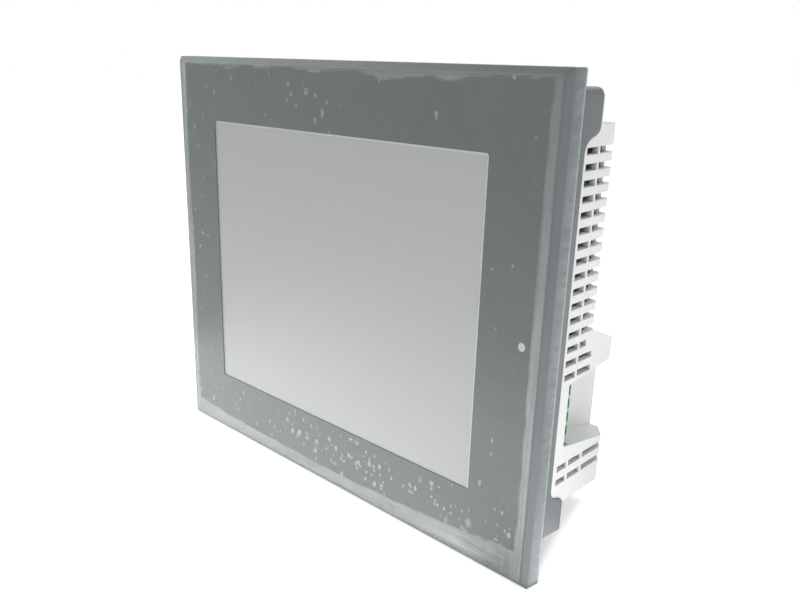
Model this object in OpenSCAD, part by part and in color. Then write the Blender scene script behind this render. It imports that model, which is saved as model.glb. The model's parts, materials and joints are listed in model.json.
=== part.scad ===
// Panel-mounted operator touch screen, 7.5 inch class, drawn in millimetres.
// Origin: middle of the panel cut-out, on the plane of the flange's back.
// +X is to the right of a person facing the screen, +Y goes into the panel, +Z is up.

/* [Bezel] */
// Width of the front bezel
bezel_w = 215; // [212:0.5:230]
// Height of the front bezel
bezel_h = 170; // [167:0.5:185]
// Front face to the back of the flange
bezel_t = 7.5; // [6.5:0.1:9]
// Width of the sloping front edge
bevel_w = 1.9; // [1.2:0.1:2.6]
// Depth of the sloping front edge
bevel_d = 1.9; // [1.2:0.1:3]
// Corner radius of the bezel
bezel_r = 0.8; // [0.5:0.1:3]
// Thickness of the front wall behind the overlay
front_wall = 5; // [4:0.1:5.5]

/* [Panel cut-out] */
// Width of the cut-out in the panel
cutout_w = 204.5; // [203:0.5:206]
// Height of the cut-out in the panel
cutout_h = 159.5; // [158:0.5:161]
// Play of the body in the cut-out, both sides together
cutout_play = 1; // [0.6:0.1:1.5]

/* [Front case skirt] */
// Wall of the skirt
skirt_wall = 2.5; // [2:0.1:3]
// Radius of the skirt's upper corners
upper_corner_r = 2.8; // [2.6:0.1:4]
// Cut of the skirt's lower corners, along each side
lower_corner_cut = 7.7; // [6:0.1:8]
// Depth of the narrow band along the sides
band_y = 10.1; // [9.5:0.1:10.8]
// Depth of the corner ears and of the top and bottom walls
ear_y = 17.2; // [16.6:0.1:18]
// Rounding of the rear edge along the top and bottom
ear_round = 0.8; // [0.4:0.1:1.2]
// Height of the upper ears
upper_ear_h = 11.2; // [9:0.1:12]
// Height of the lower ears
lower_ear_h = 18.6; // [17:0.1:20]
// Radius of the ear's own bend in the upper S-curve
upper_ear_r = 3.2; // [2:0.1:4]
// Radius of the hollow bend in the upper S-curve
upper_hollow_r = 5.5; // [4:0.1:6]
// Radius of the ear's own bend in the lower S-curve
lower_ear_r = 1.5; // [1:0.1:3]
// Radius of the hollow bend in the lower S-curve
lower_hollow_r = 4; // [3:0.1:5]
// Turn of each bend in the S-curves, degrees
s_turn = 70; // [60:1:80]

/* [Rear cover] */
// Wall of the rear cover
cover_wall = 2.4; // [2:0.1:2.6]
// Inward lean of the side walls, per unit of depth
taper = 0.15; // [0.1:0.01:0.17]
// Gap along the parting line between front case and rear cover
parting_gap = 0.15; // [0.1:0.05:0.3]
// Depth of the low strip along the top
top_strip_y = 20.6; // [20.2:0.1:21.6]
// Depth of the low strip along the bottom
tail_y = 19.2; // [19:0.1:20]
// How far the cover's edge stays inside the skirt
cover_inset = 2.3; // [2:0.1:3]
// Top of the body down to the shoulder of the shallow half
shoulder_drop = 11.1; // [10.5:0.1:11.6]
// Depth of the shallow upper half
shallow_y = 30.2; // [29.6:0.1:31]
// Depth of the deep lower half, rearmost face
deep_y = 52.5; // [51:0.5:56]
// Bottom of the body up to the top of the deep half
deep_top_rise = 78.9; // [78:0.1:79.6]
// Fall of the deep half's top face, per unit of depth
deep_ramp = 0.37; // [0.2:0.01:0.4]
// Bottom of the body up to the connector wall
deep_bottom_rise = 17.6; // [17:0.1:18.2]
// Depth of the broken edge on the shallow half
shallow_edge = 1.7; // [0.8:0.1:2]
// Depth of the broken edge on the deep half
deep_edge = 8.5; // [6:0.1:9]

/* [Vents] */
// Number of slots in each upper side row
slot_count = 16; // [15:1:16]
// Pitch of the slots
slot_pitch = 4.91; // [4.6:0.01:4.95]
// Height of each slot
slot_h = 2.2; // [1.6:0.05:2.4]
// Top of the body down to the top of the first slot
slot_drop = 17.7; // [17:0.05:18.5]
// Start of the front opening of each slot
slot_y = 11.7; // [11.4:0.1:12.2]
// Rib between the front and the rear opening
slot_rib = 1.2; // [1:0.1:2]
// Length of the front opening
slot_len = 7.2; // [6:0.1:7.5]
// Reach of the slots round the corner, from the side
slot_wrap = 6.5; // [5:0.1:7]
// Length of a closed rear opening in the deep half
slot_rear_len = 9.1; // [6:0.1:9.4]
// Length of the rear opening just under the deep half's top
slot_short_len = 4.4; // [3:0.1:6]
// Bottom of the body up to the top of the upper low slot
low_slot_rise = 33.3; // [32.6:0.1:34]
// Pitch of the low slots
low_slot_pitch = 5.2; // [4.4:0.1:5.4]
// Number of air slots in the shoulder
shoulder_slots = 25; // [15:2:27]
// Pitch of the air slots in the shoulder
shoulder_pitch = 6.5; // [6:0.1:6.8]
// Width of the air slots in the shoulder
shoulder_slot_w = 3; // [2:0.1:4]

/* [Side recess] */
// Width of the recess, from the side inwards
recess_w = 16; // [15.6:0.1:16.6]
// Depth of the recess floor
recess_y = 15.8; // [15.6:0.1:16.4]
// Bottom of the body up to the recess floor's upper edge
recess_top_rise = 62.9; // [62.4:0.1:63.4]
// Height of the recess at its floor
recess_h = 23; // [22.6:0.1:23.6]
// Draft of the upper recess wall, per unit of depth
recess_draft = 0.095; // [0.02:0.005:0.11]
// Fall of the lower recess wall, per unit of depth
recess_fall = 0.145; // [0.1:0.005:0.15]
// Length of the notch in the lower recess wall, along the depth
recess_notch = 5; // [3:0.1:6]

/* [Screen] */
// Width of the window
window_w = 158; // [150:0.5:159]
// Height of the window
window_h = 116; // [112:0.2:118]
// Window middle, to the right of the bezel middle
window_x = 0; // [-1:0.1:1]
// Window middle, above the bezel middle
window_z = 1.2; // [0:0.1:2]
// Thickness of the printed overlay
overlay_t = 0.3; // [0.2:0.05:0.5]
// Rim of the bezel round the overlay
overlay_rim = 0.6; // [0.4:0.1:1.5]
// Thickness of the protective film
film_t = 0.15; // [0.1:0.05:0.2]
// Thickness of the flexible touch film
touch_film_t = 0.2; // [0.15:0.05:0.4]
// Thickness of the touch glass
touch_glass_t = 1.8; // [1.1:0.1:2.2]
// Margin of the touch panel round the window
touch_margin = 9; // [8:0.1:9.5]
// Play of the touch panel in the front wall
touch_play = 1.5; // [1:0.1:1.8]
// Thickness of the foam ring behind the glass
foam_t = 0.8; // [0.5:0.1:1.2]
// Width of the foam ring
foam_w = 6; // [4:0.1:7]
// Margin of the display module round the window
lcd_margin = 8; // [7.5:0.1:8.5]
// Thickness of the display module
lcd_t = 9; // [8.6:0.1:10]
// Sheet of the display frame
lcd_sheet = 0.5; // [0.4:0.1:0.7]
// Thickness of the liquid crystal cell
cell_t = 1.7; // [1.4:0.1:2]
// Thickness of the light guide
guide_t = 4; // [3.5:0.1:4.4]
// Diameter of the back light tube
lamp_d = 3.6; // [2.6:0.1:3.6]
// Diameter of the status light
status_d = 2.9; // [2:0.1:3]
// Status light middle, in from the side of the body
status_inset = 3.9; // [3.8:0.1:5]
// Status light middle, above the bezel middle
status_z = 0.8; // [-2:0.1:3]

/* [Boards] */
// Sheet of the chassis plate
chassis_t = 1.2; // [0.8:0.1:1.6]
// Chassis plate to the main board
spacer_h = 6.8; // [6.4:0.1:7.2]
// Main board to the connector board
io_spacer_h = 7.8; // [7.4:0.1:8.2]
// Connector board to the power board
power_spacer_h = 18.4; // [17.6:0.1:19.4]
// Thickness of the circuit boards
pcb_t = 1.6; // [1.2:0.1:1.8]

/* [Card slot] */
// Width of the memory card, with its play
card_w = 43; // [42.8:0.1:43.4]
// Height of the card's way in
card_h = 5.2; // [4.8:0.1:5.4]
// Height of the card cover
card_cover_h = 48.8; // [47:0.1:49]
// Width of the card cover, from the hinge
card_cover_w = 20.5; // [18:0.1:21]
// Start of the card cover, at its hinge
card_hinge_y = 21.8; // [21.2:0.1:22.4]
// Diameter of the hinge pin
hinge_pin_d = 1; // [0.8:0.1:1.2]
// Play all round the card cover
card_cover_play = 0.3; // [0.25:0.05:0.5]

/* [Connectors] */
// Poles of the supply plug
power_poles = 3; // [2:1:3]
// Pitch of the supply plug
power_pitch = 5.08; // [5:0.01:5.2]
// Poles of the side plug
aux_poles = 4; // [3:1:4]
// Pitch of the side plug
aux_pitch = 5; // [4.8:0.01:5.08]
// Play of a plug in its header
plug_play = 0.2; // [0.15:0.05:0.3]
// Play of a connector in its opening
port_play = 0.4; // [0.3:0.1:0.5]
// Spacing of the lock screws beside the serial port
lock_spacing = 25; // [24.6:0.1:25.4]
// Hole in each lock screw
lock_hole_d = 2.4; // [2:0.1:2.8]

/* [Panel fixing] */
// Width of each clamp slot
clamp_slot_w = 10; // [8:0.5:12]
// Length of each clamp slot, along the depth
clamp_slot_l = 5; // [4.6:0.1:6]
// Start of the clamp slots behind the flange
clamp_slot_y = 8; // [6:0.5:9]
// Clamp slot middle, from the body middle
clamp_slot_x = 70; // [55:1:76]
// Width of the panel gasket
gasket_w = 3; // [2:0.1:3.2]
// Depth of the gasket groove
gasket_d = 1.5; // [1:0.1:2]

/* [Expansion hatch] */
// Width of the hatch opening
hatch_w = 100; // [80:1:110]
// Height of the hatch opening
hatch_h = 32; // [28:0.5:33]
// Middle of the hatch, above the bezel middle
hatch_z = 37; // [36:0.5:39]
// Thickness of the hatch plate
hatch_t = 2; // [1.6:0.1:2.4]
// Overlap of the hatch plate on the cover
hatch_lap = 3; // [2:0.1:4]

/* [Hidden] */
$fn = 48;
eps = 0.01;
far = 400;

body_w = cutout_w - cutout_play;
body_h = cutout_h - cutout_play;
body_top = body_h / 2;
body_bottom = -body_h / 2;
in_x = body_w / 2 - skirt_wall;
in_z = body_h / 2 - skirt_wall;

// Display stack, front to back
overlay_y = -bezel_t;
touch_film_y = overlay_y + overlay_t;
touch_glass_y = touch_film_y + touch_film_t;
foam_y = touch_glass_y + touch_glass_t;
lcd_y = foam_y + foam_t;
cell_y = lcd_y + lcd_sheet;
guide_y = cell_y + cell_t;
tray_floor_y = guide_y + guide_t;
chassis_y = lcd_y + lcd_t;
main_y = chassis_y + chassis_t + spacer_h;
main_back = main_y + pcb_t;
io_y = main_back + io_spacer_h;
io_back = io_y + pcb_t;
power_y = io_back + power_spacer_h;
front_back = -bezel_t + front_wall;

flat_w = bezel_w - 2 * bevel_w;
flat_h = bezel_h - 2 * bevel_w;
overlay_play = 0.1;
touch_w = window_w + 2 * touch_margin;
touch_h = window_h + 2 * touch_margin;
lcd_w = window_w + 2 * lcd_margin;
lcd_h = window_h + 2 * lcd_margin;
lcd_view = 1.5;
cell_play = 1;
tray_rim = 4;
lamp_end_play = 0.4;
status_x = body_w / 2 - status_inset;
status_tail_r = 0.9;
status_fit = 0.05;
status_led_h = 1.4;

// Rear cover heights and depths
shoulder_z = body_top - shoulder_drop;
cover_top = body_top - cover_inset;
cover_bottom = body_bottom + cover_inset;
deep_top = body_bottom + deep_top_rise;
deep_bottom = body_bottom + deep_bottom_rise;
connector_wall_in = deep_bottom + cover_wall;
cover_r = 2.2;
edge_lean = 0.85;
low_slot_y = 12.8;
low_slot_len = 6.4;
low_slot_mid_len = 8.5;
low_slot_rib = 1.5;
low_slot_wrap = 11;

recess_x = body_w / 2 - recess_w;
recess_top = body_bottom + recess_top_rise;
recess_bottom = recess_top - recess_h;
recess_floor = 1.2;
notch_inset = 3;
notch_skin = 0.8;

// Screw and boss sizes
case_boss_r = 2.4;
case_boss_pilot_r = 1.1;
case_boss_gap = 0.2;
case_boss_z = in_z - case_boss_r - case_boss_gap;
case_boss_x = 82;
cover_boss_r = 3.2;
cover_boss_pilot_r = 1.3;
cover_boss_inset = 4.3;
cover_boss_x = in_x - cover_boss_inset;
cover_boss_z = in_z - cover_boss_inset;
cover_boss_low_z = cover_boss_z - 3.4;
cover_spots = [for (sx = [-1, 1]) each
    [[sx * cover_boss_x, cover_boss_z], [sx * cover_boss_x, -cover_boss_low_z]]];
inner_corner_r = 1;
inner_corner_cut = lower_corner_cut - skirt_wall * (2 - sqrt(2));
gasket_gap = 1.2;
screw_play = 0.2;
small_screw_r = 1;
small_head_r = 1.9;
small_head_t = 1.5;
cover_screw_r = 1.2;
cover_screw_l = 9;
chassis_screw_l = 6;
board_screw_l = 5;
inverter_screw_l = 3;
cover_head_r = 2.6;
cover_head_t = 1.2;
chassis_gap = 1.2;
chassis_x = cover_boss_x - cover_boss_r - chassis_gap;
chassis_edge_gap = 0.5;
chassis_z = in_z - chassis_edge_gap;
spacer_r = 2.5;
spacer_bore_r = 1.1;

// Main board outline and what stands on it
main_x = chassis_x - 0.6;
main_top = 48;
main_bottom = body_bottom + 9.2;
tab_x = in_x - 0.9;
tab_top = status_z + 5;
tab_bottom = recess_bottom - 4;
main_hole_x = 80;
main_hole_top = 42;
main_hole_mid = -1;
main_hole_low = -66;
main_spots = [for (z = [main_hole_top, main_hole_mid, main_hole_low], s = [-1, 1])
    [s * main_hole_x, z]];
inverter_h = 3.2;
inverter_w = 104;
inverter_d = 13;
inverter_x = -10;
inverter_z = 58;
inverter_edge = 6;
inverter_spots = [for (s = [-1, 1]) [inverter_x + s * (inverter_w / 2 - inverter_edge), inverter_z]];
core_w = 26;
core_h = 8;
core_d = 10;
core_groove_w = 2;
core_groove_d = 1.5;

cpu_x = -15;
cpu_z = 10;
cpu_w = 27;
chip_t = 1.8;
ram_x = 14;
ram_pitch = 14;
ram_z = 14;
ram_w = 10;
ram_h = 18;
ram_t = 1.2;
flash_x = -66;
flash_pitch = 18;
flash_z = 20;
flash_w = 12;
flash_h = 16;
logic_x = -60;
logic_pitch = 30;
logic_z = -52;
logic_w = 14;
logic_h = 8;
logic_t = 1.4;
link_x = 20;
link_z = -28;
link_w = 36;
link_h = 5;
cap_r = 5;
cap_l = 13;
cap_x = -8;
cap_pitch = 13;
cap_drop = 14;
choke_x = 42;
choke_w = 15;
choke_h = 10;
choke_drop = 22;
choke_bore_r = 3;
choke_floor = 3;
tail_lead_z = 12;
tail_lead_w = 10;
tail_lead_t = 0.2;
tail_lead_inset = 0.4;
tail_lead_play = 2;
sink_w = 30;
sink_base = 2;
sink_h = 8;
sink_fins = 7;
sink_fin_t = 1.4;
battery_x = 58;
battery_z = 12;
battery_r = 10;
battery_t = 3.2;
battery_wall = 1.2;
buzzer_x = 76;
buzzer_z = 25;
buzzer_r = 6;
buzzer_h = 7;
expansion_w = 40;
expansion_d = 6;
expansion_h = 12.5;
expansion_x = 24;

// Connector board outline and what stands on it
io_right = recess_x - cover_wall - 1.6;
io_left = -(body_w / 2 - 8.8);
io_bottom = connector_wall_in + 0.3;
io_spots = [[-42, -18], [78, -18], [-42, -45.5], [78, -44]];
power_left = -30;
power_right = 74;
power_top = ramp_z(power_y + 4) - cover_wall - 1.6;
power_bottom = deep_bottom + 17;
power_edge = 4;
power_spots = [for (x = [power_left + power_edge, power_right - power_edge])
    for (z = [power_bottom + power_edge, power_top - power_edge]) [x, z]];

port_face = deep_bottom - 0.2;
jack_w = 16;
jack_d = 13.4;
jack_l = 15.6;
jack_mouth_w = 11.8;
jack_mouth_d = 8;
jack_mouth_l = 12;
jack_latch_w = 6;
jack_latch_d = 2.4;
serial_jack_x = 16.5;
network_jack_x = 35;
usb_w = 13.4;
usb_d = 6;
usb_l = 14;
usb_sheet = 0.4;
usb_tongue_w = 11;
usb_tongue_t = 1.8;
usb_xs = [53.5, 70.5];
serial_x = -10.2;
serial_y = io_back + 7.2;
serial_flange_w = 30.8;
serial_flange_d = 12.4;
serial_sheet = 0.8;
serial_shell_l = 6;
serial_body_w = 19;
serial_body_d = 12.4;
serial_body_l = 11;
serial_pin_r = 0.5;
serial_pin_l = 4.2;
serial_floor = deep_bottom;
lock_hex_r = 2.8;
lock_l = 5;
lock_shank_r = 1.5;

power_x = -37.5;
power_header_wall = 1.2;
power_header_w = power_poles * power_pitch + 3.6;
power_header_d = 10.4;
power_header_l = 12;
power_neck_l = 8.6;
power_grip_l = 11;
power_pull = 10;

aux_drop = 1.05;
aux_z = (recess_top + recess_bottom) / 2 - aux_drop;
aux_inset = 10.1;
aux_x = body_w / 2 - aux_inset;
aux_w = 8.2;
aux_header_wall = 1.2;
aux_end = 0.1;
aux_len = aux_poles * aux_pitch + 2 * aux_end;
aux_header_inset = 0.8;
aux_header_len = aux_len - 2 * aux_header_inset;
aux_header_rise = 2.2;
aux_plug_rise = 8.2;
aux_header_back = recess_y + aux_header_rise;
aux_plug_back = recess_y + aux_plug_rise;
aux_neck_l = 2.4;
aux_entry_d = 2.4;
aux_entry_wall = 0.5;
aux_entry_rib = 1.6;
aux_entry_l = 6.4;
aux_screw_x = aux_x - 2.2;
aux_screw_r = 1.2;
aux_screw_play = 0.1;
aux_pull = 9;

// Card socket, its ejector and the cover's hinge
lean = atan(taper);
socket_wall = 1.2;
socket_play = 0.6;
socket_left = -(body_w / 2 - 7.2);
socket_right = socket_left + 44;
socket_bottom = connector_wall_in + socket_play;
card_bottom = socket_bottom + socket_wall;
card_depth = 38;
card_y = io_back + socket_wall;
eject_size = 2.8;
eject_play = 0.3;
eject_bottom = card_bottom + card_w + socket_wall;
eject_out = 1.5;
eject_len = 26;
eject_travel = 5;
socket_top = eject_bottom + eject_size + 2 * eject_play + socket_wall;
socket_back = card_y + card_h + socket_wall;
io_top = socket_top - 0.4;
card_cover_rise = 3.6;
card_cover_z = deep_bottom + card_cover_rise + card_cover_h / 2;
card_cover_t = cover_wall * cos(lean);
hinge_play = 0.06;
hinge_seat = 2;

// Half width of the leaning side wall at depth y
function wall_x(y) = body_w / 2 - taper * (y - band_y);

// Height of the deep half's falling top face at depth y
function ramp_z(y) = deep_top - deep_ramp * (y - shallow_y);

// Points along a circular arc
function arc(cx, cy, r, a0, a1, n = 8) =
    [for (i = [0:n]) let (a = a0 + (a1 - a0) * i / n) [cx + r * cos(a), cy + r * sin(a)]];

// Height used by an S-curve that spans the depth from band to ear
function s_rise(re, rh) =
    let (bends = (re + rh) * (1 - cos(s_turn)))
    (re + rh) * sin(s_turn) + (ear_y - band_y - bends) / tan(s_turn);

// Plan outline of a cover zone: leaning sides and broken rear edges
function zone_plan(y0, y1, edge, inset) =
    let (a = wall_x(y0) - inset, b = wall_x(y1 - edge) - inset, c = b - edge * edge_lean)
    [[-a, y0], [a, y0], [b, y1 - edge], [c, y1], [-c, y1], [-b, y1 - edge]];

// Rectangle with round corners, centred
module round_rect(w, h, r) {
    square([w - 2 * r, h], center = true);
    square([w, h - 2 * r], center = true);
    for (sx = [-1, 1], sz = [-1, 1])
        translate([sx * (w / 2 - r), sz * (h / 2 - r)]) circle(r);
}

// Body outline with round upper and cut lower corners, centred
module body_rect(w, h, r, cut) {
    difference() {
        union() {
            square([w - 2 * r, h], center = true);
            translate([0, -r / 2]) square([w, h - r], center = true);
            for (s = [-1, 1]) translate([s * (w / 2 - r), h / 2 - r]) circle(r);
        }
        for (s = [-1, 1]) translate([s * w / 2, -h / 2]) rotate(45)
            square(cut * sqrt(2), center = true);
    }
}

// A drawing in X and Z given depth from y0 to y1
module slab(y0, y1) {
    translate([0, y1, 0]) rotate([90, 0, 0]) linear_extrude(y1 - y0) children();
}

// A drawing in Y and Z given length from x0 to x1
module bar(x0, x1) {
    translate([x0, 0, 0]) rotate([90, 0, 90]) linear_extrude(x1 - x0) children();
}

// A box from its lowest to its highest corner
module block(lo, hi) {
    translate(lo) cube(hi - lo);
}

// A round rod along Y
module rod_y(x, z, r, y0, y1) {
    translate([x, y1, z]) rotate([90, 0, 0]) cylinder(r = r, h = y1 - y0);
}

// A round rod along Z
module rod_z(x, y, r, z0, z1) {
    translate([x, y, z0]) cylinder(r = r, h = z1 - z0);
}

// A hexagonal spacer along Y with a bore at its rear end
module spacer(x, z, y0, y1) {
    bore_l = min(5, y1 - y0 - 1);
    difference() {
        translate([x, y1, z]) rotate([90, 0, 0]) cylinder(r = spacer_r, h = y1 - y0, $fn = 6);
        rod_y(x, z, spacer_bore_r, y1 - bore_l, y1 + eps);
    }
}

// A pan-head screw whose head sits on the plane y and whose shank points forwards
module pan_screw(x, z, y, len, r, head_r, head_t) {
    rod_y(x, z, r, y - len, y);
    difference() {
        rod_y(x, z, head_r, y, y + head_t);
        for (turn = [0, 90])
            translate([x, y + head_t, z]) rotate([0, turn, 0])
                cube([head_r * 1.3, head_t, head_r * 0.3], center = true);
    }
}

// A circuit board with screw holes
module board(x0, x1, z0, z1, y, spots) {
    difference() {
        block([x0, y, z0], [x1, y + pcb_t, z1]);
        for (s = spots) rod_y(s[0], s[1], small_screw_r + screw_play, y - eps, y + pcb_t + eps);
    }
}

// Front case: bezel flange, front wall and skirt in one moulding

// Side view of the skirt: ears above and below, S-curves into the narrow band
module skirt_profile() {
    upper_z = body_top - upper_ear_h;
    lower_z = body_bottom + lower_ear_h;
    upper_band_z = upper_z - s_rise(upper_ear_r, upper_hollow_r);
    lower_band_z = lower_z + s_rise(lower_ear_r, lower_hollow_r);
    polygon(concat(
        [[-bezel_t, body_bottom]],
        arc(ear_y - ear_round, body_bottom + ear_round, ear_round, -90, 0),
        arc(ear_y - lower_ear_r, lower_z, lower_ear_r, 0, s_turn),
        arc(band_y + lower_hollow_r, lower_band_z, lower_hollow_r, 180 + s_turn, 180),
        arc(band_y + upper_hollow_r, upper_band_z, upper_hollow_r, 180, 180 - s_turn),
        arc(ear_y - upper_ear_r, upper_z, upper_ear_r, -s_turn, 0),
        arc(ear_y - ear_round, body_top - ear_round, ear_round, 0, 90),
        [[-bezel_t, body_top]]
    ));
}

// Flange with its four sloping front edges
module flange() {
    half_w = bezel_w / 2;
    half_h = bezel_h / 2;
    slope_y = bevel_d - bezel_t;
    intersection() {
        slab(-bezel_t, 0) round_rect(bezel_w, bezel_h, bezel_r);
        translate([0, 0, -half_h]) linear_extrude(bezel_h) polygon([
            [-half_w, 0], [-half_w, slope_y], [bevel_w - half_w, -bezel_t],
            [half_w - bevel_w, -bezel_t], [half_w, slope_y], [half_w, 0]]);
        bar(-half_w, half_w) polygon([
            [0, -half_h], [slope_y, -half_h], [-bezel_t, bevel_w - half_h],
            [-bezel_t, half_h - bevel_w], [slope_y, half_h], [0, half_h]]);
    }
}

// Ring drawing of the panel gasket, grown by play on both edges
module gasket_ring(play) {
    gap = gasket_gap - play;
    grow = gasket_w + 2 * play;
    inner_w = body_w + 2 * gap;
    inner_h = body_h + 2 * gap;
    inner_r = upper_corner_r + gap;
    difference() {
        round_rect(inner_w + 2 * grow, inner_h + 2 * grow, inner_r + grow);
        round_rect(inner_w, inner_h, inner_r);
    }
}

module front_case() {
    case_spots = [for (x = [-case_boss_x, 0, case_boss_x], s = [-1, 1]) [x, s * case_boss_z]];
    color("#4b5356") difference() {
        union() {
            difference() {
                union() {
                    flange();
                    intersection() {
                        slab(front_back, ear_y)
                            body_rect(body_w, body_h, upper_corner_r, lower_corner_cut);
                        bar(-far, far) skirt_profile();
                    }
                }
                slab(front_back, ear_y + eps)
                    body_rect(2 * in_x, 2 * in_z, inner_corner_r, inner_corner_cut);
            }
            for (s = case_spots) rod_y(s[0], s[1], case_boss_r, front_back - eps, chassis_y);
            for (s = cover_spots) rod_y(s[0], s[1], cover_boss_r, front_back - eps, ear_y);
        }
        slab(-bezel_t - 1, touch_film_y)
            square([flat_w - 2 * overlay_rim, flat_h - 2 * overlay_rim], center = true);
        translate([window_x, 0, window_z]) slab(-bezel_t - 1, front_back + 1)
            round_rect(touch_w + 2 * touch_play, touch_h + 2 * touch_play, 2);
        rod_y(status_x, status_z, status_d / 2 + status_fit, -bezel_t - 1, front_back + 1);
        slab(-gasket_d, eps) gasket_ring(overlay_play);
        for (s = case_spots) rod_y(s[0], s[1], case_boss_pilot_r, front_back, chassis_y + eps);
        for (s = cover_spots) rod_y(s[0], s[1], cover_boss_pilot_r, front_back, ear_y + eps);
        for (sx = [-1, 1])
            block([sx * clamp_slot_x - clamp_slot_w / 2, clamp_slot_y, -far / 2],
                [sx * clamp_slot_x + clamp_slot_w / 2, clamp_slot_y + clamp_slot_l, far / 2]);
    }
}

module panel_gasket() {
    color("#1d1f20") slab(-gasket_d, 0) gasket_ring(0);
}

// Screen: film, overlay, touch panel and display module

module overlay_sheet() {
    color("#3f4747") difference() {
        slab(overlay_y, touch_film_y)
            square([flat_w - 2 * overlay_rim - 2 * overlay_play,
                flat_h - 2 * overlay_rim - 2 * overlay_play], center = true);
        translate([window_x, 0, window_z]) slab(overlay_y - 1, touch_film_y + 1)
            round_rect(window_w, window_h, 1);
        rod_y(status_x, status_z, status_d / 2 + overlay_play, overlay_y - 1, touch_film_y + 1);
    }
}

module protective_film() {
    film_inset = 0.4;
    color("#c9d2d0", 0.3) slab(overlay_y - film_t, overlay_y)
        square([flat_w - 2 * film_inset, flat_h - 2 * film_inset], center = true);
}

module touch_film() {
    color("#aab0ae") translate([window_x, 0, window_z]) slab(touch_film_y, touch_glass_y)
        round_rect(touch_w, touch_h, 1);
}

module touch_glass() {
    color("#9fb0ad") translate([window_x, 0, window_z]) slab(touch_glass_y, foam_y)
        round_rect(touch_w, touch_h, 0.5);
}

module touch_foam() {
    foam_edge = 0.5;
    outer_w = lcd_w - 2 * foam_edge;
    outer_h = lcd_h - 2 * foam_edge;
    color("#2a2c2d") translate([window_x, 0, window_z]) slab(foam_y, lcd_y) difference() {
        square([outer_w, outer_h], center = true);
        square([outer_w - 2 * foam_w, outer_h - 2 * foam_w], center = true);
    }
}

// Flat lead of the touch panel, from the glass back to the main board
module touch_tail() {
    x = window_x + touch_w / 2 - tail_lead_inset;
    color("#b8772e") block([x - tail_lead_t, foam_y, tail_lead_z],
        [x, main_y, tail_lead_z + tail_lead_w]);
}

module status_light_pipe() {
    led_gap = 0.2;
    color("#e8ecea") {
        rod_y(status_x, status_z, status_d / 2, overlay_y, front_back);
        rod_y(status_x, status_z, status_tail_r, front_back - eps, main_y - status_led_h - led_gap);
    }
}

module status_led() {
    color("#f2f0d8") block([status_x - 0.8, main_y - status_led_h, status_z - 1],
        [status_x + 0.6, main_y, status_z + 1]);
}

module display_frame() {
    skirt_y = chassis_y - 1.2;
    color("#b9bcbd") translate([window_x, 0, window_z]) difference() {
        slab(lcd_y, skirt_y) square([lcd_w, lcd_h], center = true);
        slab(cell_y, skirt_y + 1)
            square([lcd_w - 2 * lcd_sheet, lcd_h - 2 * lcd_sheet], center = true);
        slab(lcd_y - 1, cell_y + eps)
            square([window_w + lcd_view, window_h + lcd_view], center = true);
    }
}

module display_cell() {
    color("#8d9391") translate([window_x, 0, window_z]) slab(cell_y, guide_y)
        square([lcd_w - 2 * lcd_sheet - 2 * cell_play, lcd_h - 2 * lcd_sheet - 2 * cell_play],
            center = true);
}

tray_w = lcd_w - 2 * lcd_sheet - 0.4;
tray_h = lcd_h - 2 * lcd_sheet - 0.4;
pocket_w = tray_w - 2 * tray_rim;
pocket_h = tray_h - 2 * tray_rim;
lamp_bay = lamp_d + 0.4;

module light_guide() {
    guide_play = 0.2;
    color("#e6efef") translate([window_x, 0, window_z])
        block([guide_play - pocket_w / 2, guide_y, lamp_bay - pocket_h / 2],
            [pocket_w / 2 - guide_play, tray_floor_y, pocket_h / 2 - guide_play]);
}

module back_light_tube() {
    color("#f7f6ea")
        translate([window_x - pocket_w / 2 + lamp_end_play, guide_y + guide_t / 2,
            window_z - pocket_h / 2 + lamp_bay / 2])
            rotate([0, 90, 0]) cylinder(d = lamp_d, h = pocket_w - 2 * lamp_end_play);
}

module display_tray() {
    color("#dfe2e1") translate([window_x, 0, window_z]) difference() {
        slab(guide_y, chassis_y) square([tray_w, tray_h], center = true);
        slab(guide_y - 1, tray_floor_y) square([pocket_w, pocket_h], center = true);
    }
}

// Inner frame, boards and what stands on them

module chassis_plate() {
    ribbon_play = 1.5;
    color("#a9adae") difference() {
        slab(chassis_y, chassis_y + chassis_t) round_rect(2 * chassis_x, 2 * chassis_z, 3);
        for (x = [-case_boss_x, 0, case_boss_x], s = [-1, 1])
            rod_y(x, s * case_boss_z, small_screw_r + screw_play, 0, far);
        block([window_x + touch_w / 2 - tail_lead_inset - tail_lead_play, 0,
            tail_lead_z - tail_lead_play],
            [far, far, tail_lead_z + tail_lead_w + tail_lead_play]);
        block([ribbon_x - ribbon_w / 2 - ribbon_play, 0, ribbon_z - ribbon_play],
            [ribbon_x + ribbon_w / 2 + ribbon_play, far, ribbon_z + ribbon_t + ribbon_play]);
    }
}

module chassis_screws() {
    color("#c8cacb") for (x = [-case_boss_x, 0, case_boss_x], s = [-1, 1])
        pan_screw(x, s * case_boss_z, chassis_y + chassis_t, chassis_screw_l, small_screw_r, small_head_r,
            small_head_t);
}

module board_spacers() {
    color("#c2a14e") {
        for (s = main_spots) spacer(s[0], s[1], chassis_y + chassis_t, main_y);
        for (s = inverter_spots)
            spacer(s[0], s[1], chassis_y + chassis_t, chassis_y + chassis_t + inverter_h);
    }
}

module main_board() {
    color("#2f6b45") difference() {
        union() {
            board(-main_x, main_x, main_bottom, main_top, main_y, main_spots);
            block([main_x - 1, main_y, tab_bottom], [tab_x, main_y + pcb_t, tab_top]);
        }
    }
}

module main_board_screws() {
    inverter_back = chassis_y + chassis_t + inverter_h + pcb_t;
    color("#c8cacb") {
        for (s = main_spots)
            pan_screw(s[0], s[1], main_back, board_screw_l, small_screw_r, small_head_r, small_head_t);
        for (s = inverter_spots)
            pan_screw(s[0], s[1], inverter_back, inverter_screw_l, small_screw_r, small_head_r,
                small_head_t);
    }
}

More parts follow.
